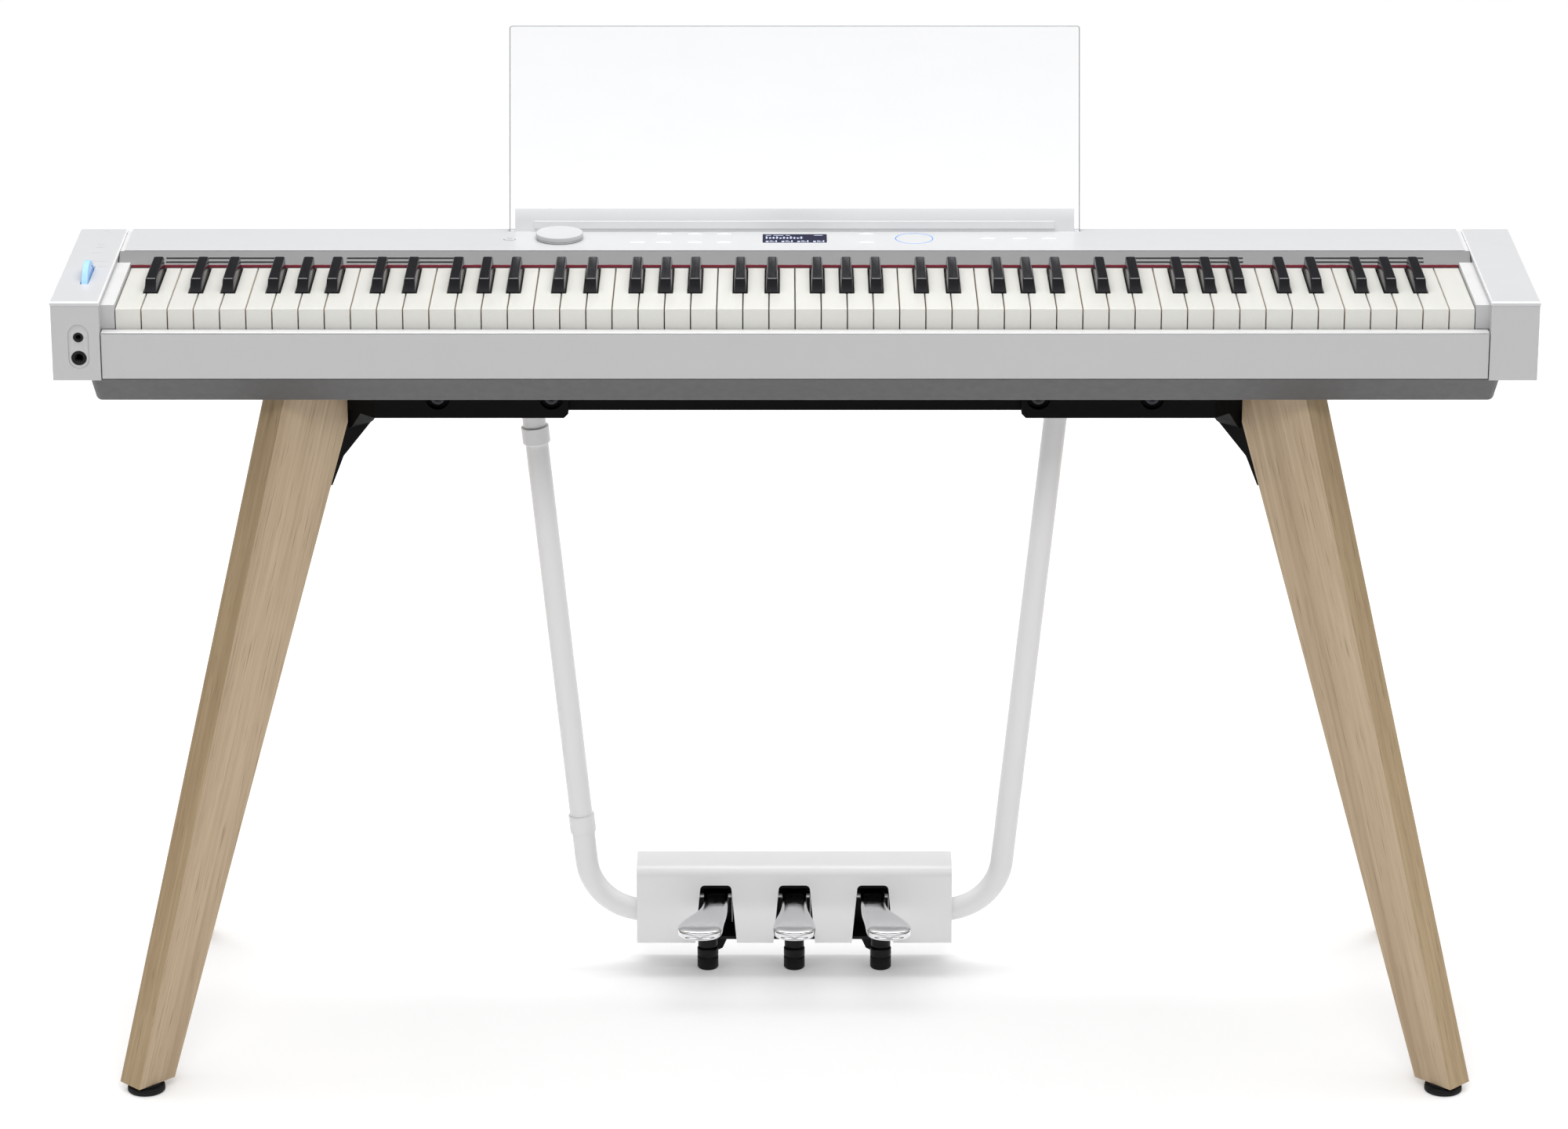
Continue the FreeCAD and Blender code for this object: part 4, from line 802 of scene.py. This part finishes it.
def display_marks(paints):
    """Generic signs on the display: bars of several lengths and small squares, no lettering."""
    low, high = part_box("display_window")
    width, depth, top = high.x - low.x, high.y - low.y, high.z

    def bar(x_share, y_share, length, height):
        x = low.x + width * x_share
        y = low.y + depth * y_share
        add_slab(bm, (x, y, top - 0.1 * MM), (x + length * MM, y + height * MM, top + 0.04 * MM),
                 0.2 * MM, MARK_EDGE)

    bm = bmesh.new()
    for x_share, length in ((0.05, 5.0), (0.17, 9.0), (0.36, 4.0), (0.80, 8.0)):
        bar(x_share, 0.82, length, 1.3)
    for i, height in enumerate((8.0, 5.5, 6.5, 8.0, 4.5, 7.0, 5.5, 8.0, 6.0, 4.5, 7.5)):
        bar(0.05 + 0.054 * i, 0.45, 1.3, height)
        bar(0.05 + 0.054 * i, 0.45 + height * 0.4 * MM / depth, 2.3, 1.6)
    for column in range(4):
        bar(0.05 + 0.245 * column, 0.07, 2.6, 4.0)
        bar(0.11 + 0.245 * column, 0.10, 4.6, 1.4)
        bar(0.11 + 0.245 * column, 0.19, 2.8, 1.4)
        bar(0.20 + 0.245 * column, 0.07, 1.4, 5.5)
    piece_of("display_marks", bm, [paints["display_mark"]], ROOT, "blue_light")


def pitch_wheel(paints):
    """Lit translucent wheel: pale rim with fine ribs, blue faces and a deeper inner disc; the rim's rounded
    corners take a darker blue as painted shade where the wheel sinks into its slot.
    """
    low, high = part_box("pitch_wheel")
    centre = middle("pitch_wheel")
    radius = (high.z - low.z) / 2
    half = WHEEL_HALF
    rim = offsets(radius, -half, (-5.0, 0.5), (-4.5, 0), (-1.6, 0), (-0.5, 0.45))
    ribs = 4
    for i in range(ribs + 1):
        along = (-half + 1.0 * MM) + (2 * half - 2.0 * MM) * i / ribs
        rim += offsets(radius, along, (0, -0.22), (0, 0.22))
        if i < ribs:
            rim += offsets(radius, along, (-0.25, 0.42))
    rim += offsets(radius, half, (-0.5, -0.45), (-1.6, 0), (-4.5, 0), (-5.0, -0.5))
    disc = offsets(0, 0, (2.6, -12), (6, -12)) + offsets(0, -half, (6, 0.9))
    disc += offsets(radius, -half, (-4.9, 0.6)) + offsets(radius, half, (-4.9, -0.6))
    disc += offsets(0, half, (6, -0.9)) + offsets(0, 0, (6, 12), (2.6, 12))
    bm = bmesh.new()
    spin(bm, rim, centre, "X", 128, 0)
    spin(bm, disc, centre, "X", 96, 1)
    bm.normal_update()
    # the rim's rounded side corners take the darker blue, material 2, as painted shade in the gaps of the slot
    for face in bm.faces:
        if face.material_index == 0 and abs(face.calc_center_median().x - centre.x) > half - 0.5 * MM:
            face.material_index = 2 if abs(face.normal.x) < 0.9 else 1
    piece_of("wheel_disc", bm, [paints["wheel_rim"], paints["wheel_blue"], paints["wheel_painted_shade"]],
             "pitch_wheel", "blue_light", "pitch_wheel", crease=30)


def socket_bush(bm, centre, outer, bore, front, depth):
    """Black bush with a chamfered mouth; its contact spring shines inside."""
    floor = front + depth - 4 * MM
    bush = [(outer, front + depth)] + offsets(outer, front, (0, 0.3), (-0.3, 0))
    bush += offsets(bore, front, (0.7, 0), (0.1, 0.7)) + [(bore, floor), (0.2 * MM, floor)]
    contact = offsets(bore, front, (-0.02, 2.2), (-0.5, 2.6), (-0.5, 3.6), (-0.02, 4.0))
    spin(bm, bush, centre, "Y", 64, 0)
    spin(bm, contact, centre, "Y", 48, 1, True)


def headphone_jacks(paints):
    boxes = sorted(solids_of("headphone_jacks"), key=lambda pair: pair[0].z)
    bm = bmesh.new()
    for (low, high), bore in zip(boxes, (3.25 * MM, 1.8 * MM)):
        centre = (low + high) / 2
        socket_bush(bm, (centre.x, 0, centre.z), (high.x - low.x) / 2, bore, low.y, high.y - low.y)
    piece_of("phones_bushes", bm, [paints["jack_black"], paints["jack_ring"]], ROOT, "black_plastic",
             "headphone_jacks")


def port_rings(paints):
    """Nickel collars round the four sockets in the rear tray."""
    low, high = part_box("connector_plate")
    face = low.y + 15.0 * MM
    z = (low.z + high.z) / 2
    bm = bmesh.new()
    for mount in frame["record"]["mounts"]:
        x, y, height = mount["pos_m"]
        if abs(height - z) > 1 * MM or y < 0.1:
            continue
        bore = mount["dims"]["r_mm"] * MM
        collar = offsets(bore, face, (0.15, -0.3), (2.4, -0.3), (2.4, 0.5), (2.0, 0.9), (0.5, 0.9),
                         (0.15, 0.5))
        spin(bm, collar, (x, 0, z), "Y", 48, loop=True)
    piece_of("port_rings", bm, [paints["steel"]], ROOT, "steel")


# ---------------------------------------------------------------- music rest
def rest_frame():
    """Matrix from the sheet's own axes (X across, Y through, Z up the sheet) to the row frame."""
    low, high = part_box("music_rest")
    joint = next(j for j in frame["joints"] if j["name"] == "music_rest_lift")
    up = Vector(joint["axis"]).normalized()
    across = Vector((1, 0, 0))
    through = up.cross(across)
    turn = Matrix((across, through, up)).transposed().to_4x4()
    return Matrix.Translation((low + high) / 2) @ turn, up, low, high


def slab_on_rest(bm, place, half, thick_low, thick_high, low, high, corner):
    """Sheet across the rest's own X and Z with rounded corners; its edges take material 1."""
    soft = min(0.9 * MM, (thick_high - thick_low) / 4)

    def ring(inset, depth):
        outline = rounded_outline(-half + inset, half - inset, low + inset, high - inset,
                                  max(corner - inset, 0.1 * MM), 6)
        return [place @ Vector((x, depth, z)) for x, z in outline]

    faces = skin(bm, [ring(soft, thick_low), ring(0, thick_low + soft), ring(0, thick_high - soft),
                      ring(soft, thick_high)])
    for face in faces[:-2]:
        face.material_index = 1


def music_rest(paints):
    place, up, low, high = rest_frame()
    half_height = (high.z - low.z - REST_THICK * abs(up.y)) / up.z / 2
    bm = bmesh.new()
    slab_on_rest(bm, place, (high.x - low.x) / 2, -REST_THICK / 2, REST_THICK / 2, -half_height,
                 half_height, 3.0 * MM)
    inverse = place.inverted()
    frost_top = -half_height + FROST_HEIGHT
    across, up_sheet = place.to_3x3() @ Vector((1, 0, 0)), place.to_3x3() @ Vector((0, 0, 1))
    for point, normal in ((Vector((0, 0, frost_top)), up_sheet), (Vector((FROST_HALF, 0, 0)), across),
                          (Vector((-FROST_HALF, 0, 0)), across)):
        geometry = bm.verts[:] + bm.edges[:] + bm.faces[:]
        bmesh.ops.bisect_plane(bm, geom=geometry, plane_co=place @ point, plane_no=normal)
    for face in bm.faces:
        spot = inverse @ face.calc_center_median()
        if face.material_index == 0 and spot.z < frost_top and abs(spot.x) < FROST_HALF:
            face.material_index = 2
    piece_of("rest_sheet", bm, [paints["clear"], paints["edge"], paints["frost"]], "music_rest",
             "clear_acrylic", "music_rest")
    ledge_low, ledge_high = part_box("music_rest_ledge")
    ends = [inverse @ Vector((0, y, z)) for y in (ledge_low.y, ledge_high.y)
            for z in (ledge_low.z, ledge_high.z)]
    centre_z = sum(end.z for end in ends) / len(ends)
    centre_y = sum(end.y for end in ends) / len(ends)
    bm = bmesh.new()
    slab_on_rest(bm, place, (ledge_high.x - ledge_low.x) / 2, centre_y - 1.25 * MM, centre_y + 1.25 * MM,
                 centre_z - 3.75 * MM, centre_z + 3.75 * MM, 0.8 * MM)
    piece_of("rest_ledge", bm, [paints["frost"], paints["frost"]], "music_rest", "clear_acrylic",
             "music_rest_ledge")


# ---------------------------------------------------------------- stand hardware
def leg_feet(paints):
    neck = 13.0 * MM
    bm = bmesh.new()
    for low, high in solids_of("leg_feet"):
        centre = (low + high) / 2
        profile = offsets((high.x - low.x) / 2, low.z, (-2.4, 0), (-0.8, 0.15), (0, 0.9), (0, 3.6),
                          (-0.5, 4.0), (-0.5, 4.3), (-0.2, 4.5), (-0.3, 5.2), (-1.0, 5.5))
        profile += [(neck, low.z + 5.6 * MM), (neck, high.z)]
        spin(bm, profile, (centre.x, centre.y, 0), steps=72)
    piece_of("foot_pads", bm, [paints["black_rubber"]], ROOT, "black_rubber", "leg_feet")


def screw_ring(centre, y, radius, hexagonal=False):
    """Ring of points about Y: round, or on a hexagon at the same angles."""
    steps = 48
    ring = []
    for i in range(steps):
        angle = 2 * math.pi * i / steps
        reach = radius
        if hexagonal:
            sector = (angle % (math.pi / 3)) - math.pi / 6
            reach = radius * math.cos(math.pi / 6) / math.cos(sector)
        ring.append((centre.x + reach * math.cos(angle), y, centre.z + reach * math.sin(angle)))
    return ring


def bracket_screws(paints):
    """Socket-head screws in the brackets' wells, with hexagonal sockets."""
    bm = bmesh.new()
    for low, high in solids_of("bracket_screws"):
        centre = (low + high) / 2
        outwards = -1 if centre.y < 0 else 1
        face, tail = (low.y, high.y) if centre.y < 0 else (high.y, low.y)
        head = (high.x - low.x) / 2 / MM
        # (radius, depth below the head's face) in millimetres
        rounds = ((3.0, abs(tail - face) / MM), (3.0, 4.0), (head, 4.0), (head, 0.7), (head - 0.2, 0.25),
                  (head - 0.7, 0.0), (4.0, 0.0))
        rings = [screw_ring(centre, face - outwards * depth * MM, radius * MM) for radius, depth in rounds]
        rings += [screw_ring(centre, face - outwards * depth * MM, 2.9 * MM, True) for depth in (0.3, 2.6)]
        skin(bm, rings)
    piece_of("socket_screws", bm, [paints["dark_screw"]], ROOT, "steel", "bracket_screws")


def adjusters(paints):
    for side in ("left", "centre", "right"):
        node = side + "_adjuster"
        low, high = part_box(node)
        centre = middle(node)
        profile = offsets((high.x - low.x) / 2, 0, (-2.6, 0), (-0.9, 0.25), (0, 1.4), (0, 11.6),
                          (-0.3, 12.0), (-1.0, 12.3), (-1.0, 13.4), (-0.3, 13.7), (0, 14.1),
                          (0, 20.6), (-0.9, 21.5)) + offsets(0, 0, (4.0, 21.5))
        thread = 21.9 * MM
        while thread < high.z - 0.6 * MM:
            profile += offsets(0, thread, (4.0, 0), (3.55, 0.45))
            thread += 0.9 * MM
        profile += [(3.4 * MM, high.z)]
        bm = bmesh.new()
        spin(bm, profile, (centre.x, centre.y, 0), steps=96)
        piece_of(side + "_screw_foot", bm, [paints["black_plastic"]], node, "black_plastic", node)


def springs(paints):
    """Torsion springs coiled round the pedal shaft, each with a leg down to the floor."""
    wire = 0.7 * MM
    bm = bmesh.new()
    for low, high in solids_of("pedal_springs"):
        centre = (low + high) / 2
        coil = (high.z - low.z) / 2 - wire
        turns, steps = 6, 28
        points = [Vector((low.x + wire, centre.y - coil, centre.z - 26 * MM)),
                  Vector((low.x + wire, centre.y - coil, centre.z - 12 * MM))]
        for i in range(turns * steps + 1):
            angle = math.pi + 2 * math.pi * i / steps
            along = low.x + wire + (high.x - low.x - 2 * wire) * i / (turns * steps)
            points.append(Vector((along, centre.y + coil * math.cos(angle),
                                  centre.z + coil * math.sin(angle))))
        sweep(bm, points, wire, 10)
    piece_of("torsion_springs", bm, [paints["steel"]], ROOT, "steel", "pedal_springs", crease=60)


def sweep(bm, points, radius, steps):
    """Round wire along a chain of points."""
    rings = []
    side = Vector((1, 0, 0))
    for i, point in enumerate(points):
        ahead = points[min(i + 1, len(points) - 1)] - points[max(i - 1, 0)]
        ahead.normalize()
        side = (side - ahead * side.dot(ahead)).normalized()
        up = ahead.cross(side)
        angles = [2 * math.pi * k / steps for k in range(steps)]
        rings.append([point + (side * math.cos(angle) + up * math.sin(angle)) * radius for angle in angles])
    skin(bm, rings)


def speakers(paints):
    """Drivers behind the slots: pressed frame, rubber surround, paper cone, dome and magnet."""
    bm = bmesh.new()
    for low, high in solids_of("speakers"):
        centre = (low + high) / 2
        front = high.y - 9 * MM
        skin(bm, [[(x, y, z) for x, z in rounded_outline(low.x, high.x, low.z, high.z, 10 * MM, 6)]
                  for y in (front, front + 2.5 * MM)])
        ring = (centre.x, 0, centre.z)
        surround = offsets(0, front, (21, 0), (20.5, -1.5), (19, -2.4), (17.5, -1.5), (17, 0))
        cone = offsets(0, front, (17, -0.5))
        cone += offsets(0, low.y, (6.5, 3), (5.5, 1.6), (3.0, 0.4), (0.3, 0))
        magnet = offsets(0, front, (16, 2.5)) + offsets(0, high.y, (16, -0.5), (15.5, 0), (3, 0))
        spin(bm, surround, ring, "Y", 64, 1, True)
        spin(bm, cone, ring, "Y", 64, 2)
        spin(bm, magnet, ring, "Y", 64, 0)
    piece_of("speaker_units", bm, [paints["steel"], paints["black_rubber"], paints["speaker_paper"]], ROOT,
             "black_plastic", "speakers")


# ---------------------------------------------------------------- pedals
def pedal(side, paints):
    """Plated lever: hub and neck in the housing, an arch, and a wide toe with a rounded rim."""
    node = side + "_pedal"
    low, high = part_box(node)
    joint = next(j for j in frame["joints"] if j["name"] == node + "_press")
    x = {"left": -PEDAL_PITCH, "centre": 0.0, "right": PEDAL_PITCH}[side]
    neck = PEDAL_NECK
    reach = [min(edge, CENTRE_TOE) if side == "centre" else edge for edge in (x - low.x, high.x - x)]
    if side == "left":
        reach[1] = INNER_TOE
    if side == "right":
        reach[0] = INNER_TOE
    # (y, share of the toe's flare, corner inset in mm, top, underside, squareness of the section)
    stations = ((118.0, 0.0, 0.0, 77.0, 65.0, 6), (104.0, 0.0, 0.0, 79.2, 64.0, 5),
                (93.0, 0.0, 0.0, 80.0, 63.6, 4.5), (84.0, 0.0, 0.0, 79.6, 63.4, 4),
                (76.0, 0.01, 0.0, 78.4, 63.2, 3.8), (68.0, 0.05, 0.0, 76.9, 63.0, 3.6),
                (60.0, 0.18, 0.0, 75.6, 62.8, 3.5), (53.0, 0.37, 0.0, 74.8, 62.7, 3.5),
                (46.0, 0.58, 0.0, 74.2, 62.7, 3.6), (38.0, 0.78, 0.0, 73.7, 62.6, 3.7),
                (30.0, 0.93, 0.0, 73.3, 62.6, 3.8), (23.0, 1.0, 0.2, 73.0, 62.6, 4),
                (17.0, 1.0, 0.9, 72.8, 62.6, 4), (12.5, 1.0, 2.0, 72.5, 62.6, 3.8),
                (9.6, 1.0, 3.3, 72.2, 62.7, 3.6), (7.5, 1.0, 4.9, 71.5, 63.2, 3.2),
                (6.0, 1.0, 6.6, 70.4, 64.1, 2.8), (5.2, 1.0, 8.8, 69.2, 65.2, 2.4))
    count = 48
    nose_start = 26.0
    rings = []
    for y, share, inset, top, under, power in stations:
        left, right = [neck + (edge - neck) * share - inset * MM for edge in reach]
        nose = max(0.0, (nose_start - y) / nose_start)
        ring = []
        for i in range(count):
            angle = 2 * math.pi * i / count
            cos, sin = math.cos(angle), math.sin(angle)
            across = math.copysign(abs(cos) ** (2 / power), cos)
            upright = math.copysign(abs(sin) ** (2 / power), sin)
            height = (top + under) / 2 + upright * (top - under) / 2
            bow = 5.0 * nose * abs(across) ** 2.2
            ring.append((x + (right - left) / 2 + across * (left + right) / 2, (y + bow) * MM,
                         height * MM))
        rings.append(ring)
    bm = bmesh.new()
    skin(bm, rings)
    pivot = Vector(joint["pos_m"])
    hub = offsets(0, -neck, (4.2, 0), (7.6, 0), (8.4, 0.6))
    hub += offsets(0, neck, (8.4, -0.6), (7.6, 0), (4.2, 0))
    spin(bm, hub, (x, pivot.y, pivot.z), "X", 48)
    piece = piece_of(side + "_pedal_lever", bm, [paints["chrome"]], node, "chrome", node, crease=50)
    smooth = piece.modifiers.new("smooth", "SUBSURF")
    smooth.levels = 1
    smooth.render_levels = 2


# ---------------------------------------------------------------- build
def main():
    make_camera()
    make_studio()
    make_floor()
    paints = make_materials()
    finish_case(paints)
    finish_legs()
    for note in WHITE_GROUPS:
        white_keys(note, paints)
    for note in BLACK_GROUPS:
        black_keys(note, paints)
    for make in (felt_line, control_dial, power_button, touch_marks, display_marks, pitch_wheel,
                 headphone_jacks, port_rings, music_rest, leg_feet, bracket_screws, adjusters, springs,
                 speakers):
        make(paints)
    for side in ("left", "centre", "right"):
        pedal(side, paints)


main()
